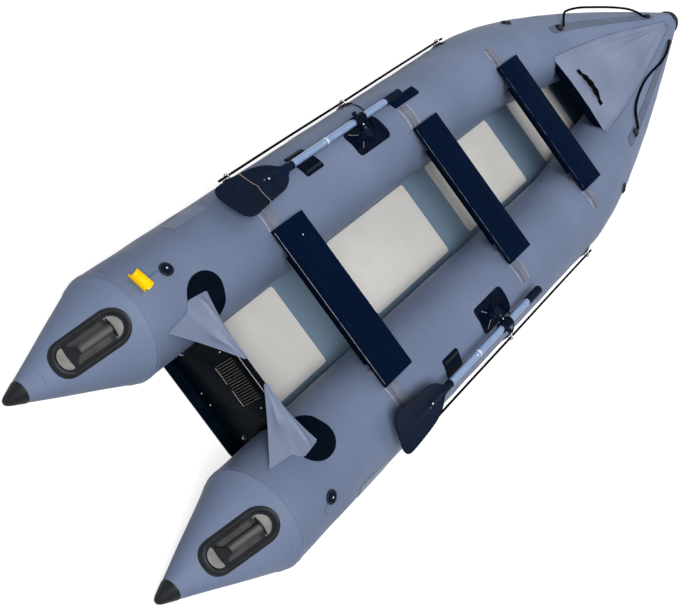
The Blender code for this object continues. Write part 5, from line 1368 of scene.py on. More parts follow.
# pale crest lines: painted highlights
for k in range(PAD_RIBS):
    x = -PAD_WIDTH / 2 + (k + 0.5) * pitch
    ends = np.linspace(PAD_BOTTOM + 13 * MM, PAD_TOP - 11 * MM, 14)
    crest = np.stack([np.full(14, x), rake_y(ends) - CREST_PROUD, ends], -1)
    loft(f"motor_pad_crest_{k}", sweep(crest, circle(8) * CREST_RADIUS, (0, 1.0, 0)), RIB_HIGHLIGHT,
         slot="black_rubber")
# two pale stretches of the lower edge: painted highlights
for number, (start, end) in enumerate(LIP_HIGHLIGHTS):
    x = np.linspace(start, end, 20)
    lip = np.stack([x, rake_y(PAD_BOTTOM + 1 * MM + 0 * x) - 6.0 * MM, PAD_BOTTOM + 1 * MM + 0 * x], -1)
    loft(f"motor_pad_lip_{number}", sweep(lip, circle(8) * 1.2 * MM, (0, 0, 1.0)), EDGE_HIGHLIGHT,
         slot="black_rubber")
print("ribs", round(pitch / MM, 2), "mm apart")

# %% [markdown]
# ## Stern carry handles
# A moulded rubber handle is glued on each cone: a raised oblong rim, a recess for the fingers, and a grip bar
# on two flared walls. Everything is laid out flat and then put on the cone by one function. The rim is a
# stack of oblongs, each a little further in, at the heights of the rim's profile.

# %% Handle rims
HANDLE_Y = -1.926
HANDLE_LENGTH = 0.292
HANDLE_WIDTH = 0.130
HANDLE_SLOPE = math.hypot(CONE_LENGTH, 2 * (TUBE_RADIUS - CONE_TIP_RADIUS)) / CONE_LENGTH
# Mm in from the outer edge and mm above the cone
RIM_PROFILE = ((68, 0.9), (50, 0.9), (34, 0.9), (18, 0.9), (0, 0.9), (0, 4.5), (0.8, 7.6), (2.6, 10.2),
               (5.5, 11.6), (10, 12.0), (15, 11.8), (18, 10.6), (19.6, 8.2), (20.2, 5.4), (21.2, 4.8),
               (22.6, 4.8), (23.2, 6.0), (24.8, 6.2), (25.6, 5.4), (26.2, 3.4), (34, 3.4), (50, 3.4),
               (68, 3.4))


def on_cone(side, u, v, height):
    """u runs up the cone's top line from the handle's middle, v round it, height straight out of its axis."""
    y = HANDLE_Y + np.asarray(u) / HANDLE_SLOPE
    return on_tube(side, y, np.degrees(np.asarray(v) / station(y)[2]), height)


def oblong(side, inset, height):
    """A ring with half-round ends, drawn in by an inset."""
    width = max(HANDLE_WIDTH - 2 * inset, 0.2 * MM)
    flat = rounded(HANDLE_LENGTH - 2 * inset, width, width / 2, 120)
    return on_cone(side, flat[:, 0], flat[:, 1], height)


for label, side in SIDES.items():
    rings = [oblong(side, inset * MM, height * MM) for inset, height in RIM_PROFILE]
    loft(f"{label}_stern_handle_rim", rings, RUBBER, caps=False, slot="black_rubber",
         replaces=f"{label}_stern_handle")
print("handle rims", HANDLE_LENGTH, "by", HANDLE_WIDTH)

# %% [markdown]
# ### Recess floors
# The recess floor is a paler, finer rubber at both ends and a ribbed plate under the bar.

# %% Recess floors
RECESS_LEVELS = ((0, 3.2), (0.5, 3.2), (1.0, 3.2), (1.0, 4.4), (0.97, 4.8), (0.9, 4.2), (0.5, 4.2), (0, 4.2))
PLATE_RIB = 6 * MM


def cone_plate(name, side, outline, levels, material, **place):
    """A plate inside the handle: an outline scaled about its own middle at each height."""
    middle = outline.mean(0)
    rings = [on_cone(side, *(middle + (outline - middle) * share).T, height * MM) for share, height in levels]
    return loft(name, rings, material, caps=False, **place)


for label, side in SIDES.items():
    for end in (-1, 1):
        inner = (HANDLE_WIDTH - 2 * 27 * MM) / 2
        straight = HANDLE_LENGTH / 2 - HANDLE_WIDTH / 2
        turn = np.linspace(-1.45, 1.45, 40)
        arc = np.stack([end * (straight + inner * np.cos(turn)), inner * np.sin(turn)], -1)
        turn = np.linspace(1.4, -1.4, 20)
        back = np.stack([end * (straight - 6 * MM + 12 * MM * np.cos(turn)), inner * 0.96 * np.sin(turn)], -1)
        moon = even(np.concatenate([arc, back]), 80)
        cone_plate(f"{label}_handle_recess_{end}", side, moon, RECESS_LEVELS, GREY_RUBBER,
                   slot="black_rubber")
    u = np.linspace(-0.063, 0.063, 169)
    v = np.array([-0.036, -0.036, -0.019, 0.0, 0.019, 0.036, 0.036, 0.019, 0.0, -0.019])
    lift = np.array([3.2, 4.0, 4.2, 4.2, 4.2, 4.0, 3.2, 3.2, 3.2, 3.2]) * MM
    ridge = np.array([0, 1, 1, 1, 1, 1, 0, 0, 0, 0])
    wave = 0.8 * MM * np.clip(np.sin(u * 2 * math.pi / PLATE_RIB) * 2.2, 0, 1)
    rings = [on_cone(side, np.full(10, at), v, lift + ridge * bump) for at, bump in zip(u, wave)]
    loft(f"{label}_handle_ribbed_plate", rings, RIBBED_RUBBER, slot="black_rubber")
print("plate ribs", round(PLATE_RIB / MM, 1), "mm apart")

# %% [markdown]
# ### Grip bars
# The bar is a soft-cornered oval that grows deep and wide towards both ends, where it becomes the recess's
# walls. A ribbed sleeve covers its middle.

# %% Grip bars
GRIP_LENGTH = 0.166
turn = turns(28)
oval = np.stack([np.sign(np.cos(turn)) * np.abs(np.cos(turn)) ** 0.75,
                 np.sign(np.sin(turn)) * np.abs(np.sin(turn)) ** 0.75], -1)
for label, side in SIDES.items():
    s = np.linspace(-1, 1, 71)
    reach = np.abs(s)
    top = 0.0405 - 0.029 * np.clip((reach - 0.70) / 0.30, 0, 1) ** 2.2
    bottom = 0.0243 - 0.0205 * np.clip((reach - 0.76) / 0.16, 0, 1) ** 1.2
    half = 0.0125 + 0.0235 * np.clip((reach - 0.80) / 0.18, 0, 1) ** 1.7
    rings = [on_cone(side, at * GRIP_LENGTH / 2, w * oval[:, 0], (b + t) / 2 + (t - b) / 2 * oval[:, 1])
             for at, w, b, t in zip(s, half, bottom, top)]
    loft(f"{label}_handle_grip_bar", rings, RUBBER, slot="black_rubber")
    s = np.linspace(-0.72, 0.72, 111)
    swell = 0.9 * MM + 0.35 * MM * np.sin(s * 95)
    swell[[0, -1]] = 0.1 * MM
    rings = [on_cone(side, at * GRIP_LENGTH / 2, (0.0125 + e) * oval[:, 0],
                     0.0324 + (0.0081 + e) * oval[:, 1]) for at, e in zip(s, swell)]
    loft(f"{label}_handle_sleeve", rings, RIBBED_RUBBER, slot="black_rubber")
print("grip bars", GRIP_LENGTH, "long")

# %% [markdown]
# ## Tips
# Each cone ends in a moulded rubber plug, and one rubber cap covers both tube ends at the bow. They take the
# knocks when the boat is dragged or run ashore.

# %% Cone and nose caps
# y, and mm proud of the cone
PLUG_PROFILE = ((-2.0960, 0.2), (-2.0965, 1.4), (-2.0985, 2.2), (-2.1030, 2.3), (-2.1180, 2.2),
                (-2.1330, 1.9), (-2.1420, 1.0), (-2.1475, -1.6), (-2.1500, -5.6))
NOSE_PROUD = 6.9 * MM
# y, height above the tube, share of the ring's reach: first the cap's inside, then its outside
NOSE_PROFILE = ((2.1440, 0.9 * MM, 0.4), (2.1440, 0.9 * MM, 1.0), (2.1190, 0.9 * MM, 1.0),
                (2.1190, 5.6 * MM, 1.0), (2.1198, 6.6 * MM, 1.0), (2.1210, NOSE_PROUD, 1.0),
                (2.1236, NOSE_PROUD, 1.0), (2.1246, 6.1 * MM, 1.0), (2.1262, 6.1 * MM, 1.0),
                (2.1272, NOSE_PROUD, 1.0), (2.1360, NOSE_PROUD, 1.0), (2.1425, 6.4 * MM, 0.985),
                (2.1470, 6.0 * MM, 0.945), (2.1492, NOSE_PROUD, 0.86), (2.1500, NOSE_PROUD, 0.72),
                (2.1500, NOSE_PROUD, 0.35))


def nose_ring(y, height, reach=1.0):
    """Two half circles of the tube's radius plus a height, joined by flats between the two tube centres."""
    x, z, radius = station(min(y, TUBE_END_Y))
    turn = np.linspace(0, math.pi, 49)
    side = np.concatenate([np.ones(49), -np.ones(49)])
    turn = np.concatenate([turn, turn + math.pi])
    r = (radius + height) * reach
    return np.stack([side * x * reach + r * np.sin(turn), np.full(98, y), z + r * np.cos(turn)], -1)


for label, side in SIDES.items():
    rings = [on_tube(side, y, np.arange(72) * 5.0, proud * MM) for y, proud in PLUG_PROFILE]
    loft(f"{label}_cone_plug", rings, RUBBER, slot="black_rubber", replaces=f"{label}_cone_cap")
loft("nose_cap_rubber", [nose_ring(*row) for row in NOSE_PROFILE], RUBBER, slot="black_rubber",
     replaces="nose_cap")
print("nose cap from", NOSE_PROFILE[2][0], "to", NOSE_PROFILE[-1][0])

# %% [markdown]
# ## Valves
# Each valve is a moulded body welded through the cloth, with a screw cap that lies flush and has finger dips
# round its edge. Both are turned profiles; the dips are a cosine wave in the cap's radius.

# %% Valves
VALVES = {"port_aft": (-1, -1.613, 15.0), "starboard_aft": (1, -1.615, 27.0), "port_bow": (-1, 0.937, 47.0),
          "starboard_bow": (1, 0.944, 45.0)}
# Radius and height in mm
VALVE_PROFILE = ((0, 0.3), (15, 0.3), (26, 0.3), (26, 2.4), (25.4, 4.2), (24.2, 5.6), (22.8, 6.0),
                 (20.6, 6.0), (19.4, 5.6), (19, 4.6), (19, 3.3), (10, 3.3), (0, 3.3))
CAP_PROFILE = ((0, 3.5), (17.2, 3.5), (17.5, 4.2), (17.5, 7.2), (16.9, 8.4), (15.6, 8.9), (14.2, 8.6),
               (13.4, 7.4), (12.6, 7.0), (8.2, 7.0), (7.4, 7.4), (6.6, 8.6), (5.6, 9.0), (0, 9.1))
DOT_PROFILE = ((0, 8.8), (3.4, 8.8), (3.4, 9.5), (2.6, 9.9), (0, 10.0))
for name, (side, y, angle) in VALVES.items():
    disc_on_tube(f"{name}_valve_ring", side, y, angle, np.array(VALVE_PROFILE) * MM, RUBBER,
                 slot="black_rubber", replaces=f"{name}_valve_body")
    disc_on_tube(f"{name}_valve_screw_cap", side, y, angle, np.array(CAP_PROFILE) * MM, NYLON, count=96,
                 lobes=12, lobe_depth=0.05, body=f"{name}_valve_cap", slot="black_plastic",
                 replaces=f"{name}_valve_cap")
    disc_on_tube(f"{name}_valve_dot", side, y, angle, np.array(DOT_PROFILE) * MM, WHITE_PLASTIC, count=24,
                 body=f"{name}_valve_cap", slot="black_plastic")
print("valves", list(VALVES))

# %% [markdown]
# ### Tag and strings
# The port aft valve carries a yellow card on a string. The card has curled into a roll that lies across the
# tube, with a shallow notch in its inboard end. A loose end of the same string hangs from the starboard aft
# valve.

# %% Tag and strings
TAG_Y = -1.731
TAG_ANGLE = 18.5
TAG_LENGTH = 0.074
TAG_RADIUS = 0.021
TAG_SWEEP = math.radians(205)
TAG_STRING_ROUTE = ((-1.636, 17.5, 3.0), (-1.648, 19.0, 2.0), (-1.668, 18.0, 2.4), (-1.692, 17.6, 8.0),
                    (-1.7085, 17.0, 14.0))
LOOSE_STRING_ROUTE = ((-1.640, 29.0, 3.5), (-1.652, 31.0, 1.6), (-1.662, 36.0, 1.5), (-1.655, 41.0, 1.5))
across, along, out = tube_axes(-1, TAG_Y, TAG_ANGLE)
s = np.linspace(0, 1, 25)[:, None]
turn = np.linspace(-TAG_SWEEP / 2, TAG_SWEEP / 2, 33)[None]
notch = 9 * MM * np.exp(-(turn / 0.22) ** 2)
at = s * (TAG_LENGTH - notch) - TAG_LENGTH / 2
tag_radius = TAG_RADIUS * (1 + 0.10 * (s - 0.5))
tag_rise = 1.06 * TAG_RADIUS - tag_radius * np.cos(turn)
grid = (on_tube(-1, TAG_Y, TAG_ANGLE, PATCH_LIFT + 0.2 * MM) + at[..., None] * across
        + (tag_radius * np.sin(turn))[..., None] * along + tag_rise[..., None] * out)
sheet_mesh("valve_tag_card", grid, YELLOW_CARD, 1.0 * MM, offset=0.0, slot="yellow_card",
           replaces="valve_tag")


def along_tube(side, route):
    """Points on a tube from rows of y, angle and height in mm."""
    return [on_tube(side, y, angle, height * MM) for y, angle, height in route]


def string(name, points, radius, material, body="hull",
           slot=None):
    """A thin plain cord: a ten-sided circle carried along a smooth path, and its length printed."""
    path = smooth_path(points, 3 * MM)
    line = loft(name, sweep(path, circle(10) * radius, (0.05, 0.07, 1.0)), material, body=body, slot=slot)
    declare_cord(line, path)


string("tag_string", along_tube(-1, TAG_STRING_ROUTE), 1.2 * MM, STRING, slot="black_rope")
string("starboard_valve_string", along_tube(1, LOOSE_STRING_ROUTE), 1.2 * MM, STRING,
       slot="black_rope")

# %% [markdown]
# ## Oarlocks
# A rubber pad welded on the tube carries a boss stiffened by four ribs. A steel pin stands in the boss. The
# swivel turns on the pin, and its arm holds the ear of the sleeve round the oar. The sleeve's far side has a
# clamp knob. Turned pieces stand on the boss, lie across the boat at the oar's height, or run along the oar.

# %% Oarlock measures and turned pieces
PIVOT_Y = -0.469
OAR_X = 0.491
OAR_Z = 0.452
BOSS_X = 0.427
BOSS_TOP = 0.428
BOSS_RADIUS = 0.021
SWIVEL_FOOT = BOSS_TOP + 0.3 * MM
SWIVEL_TOP = BOSS_TOP + 0.3 * MM + 34 * MM
BOSS_ANGLE = math.degrees(math.asin((BOSS_X - TUBE_CENTRE_X) / TUBE_RADIUS))


def upright(name, side, profile, material, count=48, **place):
    """A turned piece that stands on the boss: (radius, z) pairs."""
    ring = circle(count)
    centre = np.array([side * BOSS_X, PIVOT_Y])
    rings = [np.column_stack([centre + ring * radius, np.full(count, z)]) for radius, z in profile]
    return loft(name, rings, material, caps=False, **place)


def rod_x(name, side, x_profile, material, z=OAR_Z, count=28, **place):
    """A turned piece lying across the boat: (x, radius) pairs, x outboard."""
    ring = circle(count)
    rings = [np.column_stack([np.full(count, side * x), PIVOT_Y + radius * ring[:, 0],
                              z + radius * ring[:, 1]]) for x, radius in x_profile]
    return loft(name, rings, material, **place)


def turned_y(profile, side, count=48):
    """Rings round the oar's axis: (y, radius) pairs."""
    ring = circle(count)
    return [np.column_stack([side * OAR_X + radius * ring[:, 0], np.full(count, y),
                             OAR_Z + radius * ring[:, 1]]) for y, radius in profile]


print("boss at", round(BOSS_ANGLE, 1), "degrees round the tube")

# %% [markdown]
# ### Pads and bosses
# The pad has a raised rim. The boss flares out at its foot, where it follows the tube's curve.

# %% Oarlock pads and bosses
OARLOCK_PAD_Y = -0.424
OARLOCK_PAD_ANGLE = 10.8
# Shares of the boss's radius with mm above the tube, then with heights above the floor
BOSS_FOOT = ((0.4, 2.5), (1.35, 2.5), (1.28, 5.0), (1.14, 7.0))
BOSS_SHAFT = ((1.03, BOSS_TOP - 6 * MM), (1.0, BOSS_TOP - 1.6 * MM), (0.93, BOSS_TOP), (0.3, BOSS_TOP))
outline = rounded(0.222, 0.114, 0.022, 120)
rim = [(0.93, 4.2 * MM), (0.915, 3.3 * MM), (0.6, 3.3 * MM), (0.3, 3.3 * MM), (0.0, 3.3 * MM)]
levels = soft_levels(4.2 * MM, 0.025)[:10] + rim
turn = turns(48)
for label, side in SIDES.items():
    tube_patch(f"{label}_oarlock_pad_rubber", side, OARLOCK_PAD_Y, OARLOCK_PAD_ANGLE, outline, levels,
               NAVY_RUBBER, slot="black_rubber", replaces=f"{label}_oarlock_pad")
    rings = []
    for radius, height in BOSS_FOOT:
        r = BOSS_RADIUS * radius
        rings.append(on_tube(side, PIVOT_Y + r * np.sin(turn),
                             BOSS_ANGLE + np.degrees(r * np.cos(turn) / TUBE_RADIUS), height * MM))
    for radius, z in BOSS_SHAFT:
        r = BOSS_RADIUS * radius
        rings.append(np.column_stack([side * BOSS_X + side * r * np.cos(turn), PIVOT_Y + r * np.sin(turn),
                                      np.full(48, z)]))
    loft(f"{label}_oarlock_boss", rings, NAVY_RUBBER, slot="black_rubber")
print("boss", round(2 * BOSS_RADIUS / MM, 1), "mm wide")

# %% [markdown]
# ### Boss ribs
# Four ribs run down from the boss to the pad's border, getting lower as $h = 17.1 - 10.5\,s^{0.8}$ mm with
# the share s of the way. A pale line along the two aft crests is a painted highlight.

# %% Boss ribs
RIB_ENDS = ((-0.512, 22.5), (-0.500, 1.5), (-0.392, 26.0), (-0.402, -1.0))
RIB_START = 0.24
for label, side in SIDES.items():
    for number, (end_y, end_angle) in enumerate(RIB_ENDS):
        s = np.linspace(RIB_START, 1, 16)
        ys = PIVOT_Y + (end_y - PIVOT_Y) * s
        angles = BOSS_ANGLE + (end_angle - BOSS_ANGLE) * s
        crest = (13.5 - 10.5 * ((s - 0.24) / 0.76) ** 0.8 + 3.6) * MM
        foot = on_tube(side, ys, angles, 3.0 * MM)
        top = on_tube(side, ys, angles, crest)
        way = np.gradient(foot, axis=0)
        way /= np.linalg.norm(way, axis=1, keepdims=True)
        across = np.cross(way, (top - foot) / np.linalg.norm(top - foot, axis=1, keepdims=True))
        rings = np.stack([foot - across * 2.6 * MM, foot + across * 2.6 * MM,
                          top + across * 1.9 * MM - [0, 0, 0.9 * MM], top + across * 1.0 * MM,
                          top - across * 1.0 * MM, top - across * 1.9 * MM - [0, 0, 0.9 * MM]], 1)
        loft(f"{label}_oarlock_rib_{number}", rings, NAVY_RUBBER, slot="black_rubber")
        # pale line on the two aft crests: painted highlight
        if number < 2:
            line = np.stack([top - across * 1.8 * MM + [0, 0, -0.3 * MM],
                             top + across * 1.8 * MM + [0, 0, -0.3 * MM],
                             top + across * 1.2 * MM + [0, 0, 0.9 * MM],
                             top - across * 1.2 * MM + [0, 0, 0.9 * MM]], 1)
            loft(f"{label}_oarlock_rib_edge_{number}", line, GREY_RUBBER, slot="black_rubber")
print("ribs", len(RIB_ENDS), "a boss")

# %% [markdown]
# ### Pins and swivels
# The swivel is a hub with a groove round it, an arm towards the oar and a domed lid over the pin. The arm's
# upper edge catches the light.

# %% Pins and swivels
t = SWIVEL_TOP
b = SWIVEL_FOOT
PIN_PROFILE = ((0, BOSS_TOP - 1 * MM), (6 * MM, BOSS_TOP - 1 * MM), (6 * MM, t - 2.4 * MM),
               (5.2 * MM, t - 1.6 * MM), (0, t - 1.6 * MM))
HUB_PROFILE = ((6.3 * MM, b), (16.8 * MM, b), (18 * MM, b + 1.2 * MM), (18 * MM, b + 7 * MM),
               (16.6 * MM, b + 8.2 * MM), (16.6 * MM, b + 9.6 * MM), (17.8 * MM, b + 10.8 * MM),
               (18 * MM, t - 6 * MM), (17.2 * MM, t - 2.4 * MM), (15 * MM, t - 0.4 * MM),
               (8.4 * MM, t - 0.2 * MM), (6.3 * MM, t - 0.8 * MM), (6.3 * MM, b))
LID_PROFILE = ((0, t - 0.6 * MM), (8.6 * MM, t - 0.6 * MM), (8.6 * MM, t + 0.2 * MM), (7 * MM, t + 0.7 * MM),
               (0, t + 0.9 * MM))
ARM_PROFILE = ((BOSS_X + 10 * MM, 8.8 * MM), (BOSS_X + 19 * MM, 8.8 * MM), (BOSS_X + 23 * MM, 7.6 * MM),
               (BOSS_X + 28 * MM, 7.6 * MM), (OAR_X - 33 * MM, 8.8 * MM), (OAR_X - 31.6 * MM, 8.6 * MM))
ARM_EDGE_PROFILE = ((BOSS_X + 18.4 * MM, 0.8 * MM), (BOSS_X + 19 * MM, 1.4 * MM),
                    (OAR_X - 36 * MM, 1.4 * MM), (OAR_X - 35 * MM, 0.8 * MM))
for label, side in SIDES.items():
    swivel = {"body": f"{label}_swivel", "slot": "black_plastic"}
    upright(f"{label}_oarlock_pin", side, PIN_PROFILE, STEEL, count=28, slot="black_rubber")
    upright(f"{label}_swivel_hub", side, HUB_PROFILE, NYLON, replaces=f"{label}_oarlock_swivel", **swivel)
    rod_x(f"{label}_swivel_arm", side, ARM_PROFILE, NYLON, **swivel)
    rod_x(f"{label}_swivel_edge", side, ARM_EDGE_PROFILE, GREY_RUBBER, z=OAR_Z + 8.4 * MM, count=12, **swivel)
    upright(f"{label}_swivel_lid", side, LID_PROFILE, NYLON, **swivel)
print("swivels from", round(SWIVEL_FOOT, 4), "to", round(SWIVEL_TOP, 4))

# %% [markdown]
# ### Sleeves
# The sleeve is a rubber tube with a collar at either end and a band round its middle. Its ear takes the
# swivel's arm and a bolt.

# %% Sleeves
SLEEVE_BORE = 15.4 * MM
SLEEVE_RADIUS = 20.8 * MM
outer = SLEEVE_RADIUS
y0, y1 = PIVOT_Y - 31 * MM, PIVOT_Y + 31 * MM
SLEEVE_PROFILE = ((y0, SLEEVE_BORE), (y0, outer + 0.2 * MM), (y0 + 1 * MM, outer + 1.2 * MM),
                  (y0 + 5 * MM, outer + 1.2 * MM), (y0 + 6.5 * MM, outer), (PIVOT_Y - 11 * MM, outer),
                  (PIVOT_Y - 10 * MM, outer + 0.8 * MM), (PIVOT_Y + 10 * MM, outer + 0.8 * MM),
                  (PIVOT_Y + 11 * MM, outer), (y1 - 6.5 * MM, outer), (y1 - 5 * MM, outer + 1.2 * MM),
                  (y1 - 1 * MM, outer + 1.2 * MM), (y1, outer + 0.2 * MM), (y1, SLEEVE_BORE))
EAR_PROFILE = ((OAR_X - 31 * MM, 7.6 * MM), (OAR_X - 30 * MM, 9 * MM), (OAR_X - 22 * MM, 9 * MM),
               (OAR_X - 19.5 * MM, 10.5 * MM))
KNOB_PROFILE = ((OAR_X + 19.5 * MM, 7 * MM), (OAR_X + 23 * MM, 7 * MM), (OAR_X + 24 * MM, 9.4 * MM),
                (OAR_X + 33 * MM, 9.6 * MM), (OAR_X + 35.4 * MM, 8.4 * MM), (OAR_X + 36.2 * MM, 5.5 * MM))
for label, side in SIDES.items():
    collar = {"body": f"{label}_collar", "slot": "black_rubber"}
    loft(f"{label}_oar_sleeve", turned_y(SLEEVE_PROFILE, side), NAVY_RUBBER, wrap_rows=True,
         replaces=f"{label}_oar_collar", **collar)
    rod_x(f"{label}_sleeve_ear", side, EAR_PROFILE, NAVY_RUBBER, **collar)
    rod_x(f"{label}_sleeve_knob", side, KNOB_PROFILE, NYLON, count=32, **collar)
    rivet(f"{label}_collar_bolt", (side * (OAR_X - 25 * MM), PIVOT_Y, OAR_Z + 8.6 * MM), (0, 0, 1), 3.4 * MM,
          WHITE_PLASTIC, height=2.0 * MM, **collar)
print("sleeves", round((y1 - y0) / MM, 1), "mm long")

# %% [markdown]
# ## Oars
# The shaft is drawn aluminium tube in two lengths that join under a bright ring. The grip is moulded over its
# fore end.

# %% Shafts and grips
SHAFT_AFT_Y = -0.912
SHAFT_FORE_Y = -0.277
GRIP_END_Y = -0.165
JOINT_Y = -0.695
SHAFT_PROFILE = ((SHAFT_AFT_Y, 14.0 * MM), (SHAFT_AFT_Y + 0.5 * MM, 15 * MM), (-0.806, 15 * MM),
                 (JOINT_Y - 7 * MM, 15 * MM), (-0.60, 15 * MM), (-0.45, 15 * MM), (-0.35, 15 * MM),
                 (SHAFT_FORE_Y - 0.5 * MM, 15 * MM), (SHAFT_FORE_Y, 14.0 * MM))
JOINT_PROFILE = ((JOINT_Y - 5 * MM, 15.1 * MM), (JOINT_Y - 5 * MM, 15.7 * MM),
                 (JOINT_Y - 4.4 * MM, 16.1 * MM), (JOINT_Y - 1.2 * MM, 16.1 * MM),
                 (JOINT_Y - 0.6 * MM, 15.8 * MM), (JOINT_Y + 0.6 * MM, 15.8 * MM),
                 (JOINT_Y + 1.2 * MM, 16.1 * MM), (JOINT_Y + 4.4 * MM, 16.1 * MM),
                 (JOINT_Y + 5 * MM, 15.7 * MM), (JOINT_Y + 5 * MM, 15.1 * MM))
y = np.linspace(SHAFT_FORE_Y + 0.2 * MM, GRIP_END_Y - 8 * MM, 90)
swell = (16.9 + 0.5 * np.sin((y - SHAFT_FORE_Y) * 34)
         + 0.55 * np.clip(np.sin(y * 2 * math.pi / (7 * MM)) * 2, -1, 1))
grip_profile = [(SHAFT_FORE_Y + 0.2 * MM, 15.2 * MM)] + list(zip(y, swell * MM))
grip_profile += [(GRIP_END_Y - 8 * MM + 8 * MM * math.sin(t), 18 * MM * math.cos(t) + 0.3 * MM)
                 for t in np.linspace(0.05, 1.5, 10)]
for label, side in SIDES.items():
    metal = {"body": f"{label}_oar", "slot": "shaft_aluminium"}
    loft(f"{label}_oar_shaft_tube", turned_y(SHAFT_PROFILE, side, 64), SHAFT_METAL,
         replaces=f"{label}_oar_shaft", **metal)
    loft(f"{label}_oar_joint_ring", turned_y(JOINT_PROFILE, side, 64), BRIGHT_METAL, wrap_rows=True, **metal)
    rivet(f"{label}_oar_button", (side * OAR_X, JOINT_Y - 22 * MM, OAR_Z + 14.8 * MM), (0, 0, 1), 4 * MM,
          STEEL, height=1.8 * MM, **metal)
    loft(f"{label}_oar_grip_rubber", turned_y(grip_profile, side, 48), NYLON, body=f"{label}_oar",
         slot="black_plastic", replaces=f"{label}_oar_grip")
print("shafts", round(SHAFT_FORE_Y - SHAFT_AFT_Y, 3), "long")

# %% [markdown]
# ### Blades
# The blade is injection moulded. A round socket of radius $r$ flattens into a shallow scoop with a spine.
# Each edge stands off the middle by $r + (w - r)\,k(y)$, where $w$ is the full half width and $k$ is read
# from a table with a column for each edge.

# %% Blade's form
BLADE_TILT = math.radians(28)
BLADE_SHOULDER_Y = -1.042
BLADE_TIP_Y = -1.2715
BLADE_HALF_WIDTH = 0.085
NECK_RADIUS = 0.017
# Share of the widening at each y, for the inboard edge and for the outboard edge
BLADE_OUTLINE = np.array(((-0.912, 0.0, 0.0), (-0.936, 0.01, 0.02), (-0.952, 0.08, 0.12),
                          (-0.968, 0.20, 0.30), (-0.985, 0.36, 0.50), (-1.000, 0.50, 0.64),
                          (-1.014, 0.60, 0.74), (-1.032, 0.71, 0.83), (-1.060, 0.79, 0.92),
                          (-1.100, 0.84, 0.99), (-1.144, 0.89, 1.03), (-1.190, 0.98, 1.06),
                          (-1.220, 1.04, 1.07), (-1.238, 1.05, 1.05), (-1.250, 1.01, 0.98),
                          (-1.258, 0.95, 0.89), (-1.264, 0.86, 0.77), (-1.268, 0.74, 0.63),
                          (-1.270, 0.58, 0.46), (BLADE_TIP_Y, 0.38, 0.26)))


def blade_axes(side):
    """Across the blade towards outboard, which tips down, and straight out of its face."""
    across = np.array([side * math.cos(BLADE_TILT), 0, -math.sin(BLADE_TILT)])
    return across, np.array([side * math.sin(BLADE_TILT), 0, math.cos(BLADE_TILT)])


def blade_half_width(y, outboard):
    """Neck radius plus the share of the way to the full half width; the outboard edge widens sooner."""
    inner, outer = (np.interp(-np.asarray(y), -BLADE_OUTLINE[:, 0], BLADE_OUTLINE[:, k]) for k in (1, 2))
    return NECK_RADIUS + (BLADE_HALF_WIDTH - NECK_RADIUS) * np.where(outboard, outer, inner)


def flatness_at(y):
    """0 in the round socket, 1 in the flat blade, with a smooth step 3 s^2 - 2 s^3 between."""
    s = np.clip((-0.926 - np.asarray(y)) / 0.060, 0, 1)
    return s * s * (3 - 2 * s)


def blade_scoop(y, v):
    """Height of the blade's middle surface: a shallow dish across, lifted towards the tip."""
    along = np.clip((BLADE_SHOULDER_Y + 0.06 - y) / 0.3, 0, 1)
    return 5 * MM * (v / BLADE_HALF_WIDTH) ** 2 - 3 * MM + 2 * MM * along ** 2


print("blade", round(2 * BLADE_HALF_WIDTH, 3), "wide, down to", BLADE_TIP_Y)

# %% [markdown]
# A ring of the blade mixes a circle and a flat oval by the flatness $f$: $(1 - f)$ of the circle and $f$ of
# the oval. The spine and the thick edge are added to the oval's half thickness.

# %% Blades
def blade_rings(side):
    """Rings from the socket to the tip, each 64 points round, in the tilted plane of the blade."""
    y = np.concatenate([np.linspace(-0.9125, -0.94, 8), np.linspace(-0.945, -1.24, 60),
                        np.linspace(-1.244, BLADE_TIP_Y, 14)])
    turn = turns(64)
    across, out = blade_axes(side)
    width = blade_half_width(y[:, None], (np.cos(turn) > 0)[None])
    v = width * np.sign(np.cos(turn)) * np.abs(np.cos(turn)) ** 0.92
    flatness = flatness_at(y)[:, None]
    spine = np.exp(-(v / (11 * MM)) ** 2) * np.clip((y[:, None] + 1.23) / 0.2, 0, 1)
    edge = np.clip((np.abs(v) - (width - 7 * MM)) / (3 * MM), 0, 1)
    edge = edge * np.clip((-1.0 - y[:, None]) / 0.03, 0, 1)
    half = (2.2 + 9.0 * spine * (1 - 0.35 * flatness) + 1.4 * edge) * MM
    oval = np.sign(np.sin(turn)) * np.abs(np.sin(turn)) ** 0.35
    flat_z = oval * half + blade_scoop(y[:, None], v) * flatness
    round_v = NECK_RADIUS * np.cos(turn)
    round_z = NECK_RADIUS * np.sin(turn)
    v = round_v * (1 - flatness) + v * flatness
    z = round_z * (1 - flatness) + flat_z * flatness
    centre = np.stack([np.full(len(y), side * OAR_X), y, np.full(len(y), OAR_Z)], -1)[:, None]
    return centre + v[..., None] * across + z[..., None] * out


for label, side in SIDES.items():
    loft(f"{label}_oar_blade_moulding", blade_rings(side), NYLON, body=f"{label}_oar", slot="black_plastic",
         replaces=f"{label}_oar_blade")
print("blade rings", len(blade_rings(1)))

# %% [markdown]
# A rounded bead runs round the blade's edge, one rivet holds the socket and two sit on the spine. A tan cord
# is tied round the port blade.

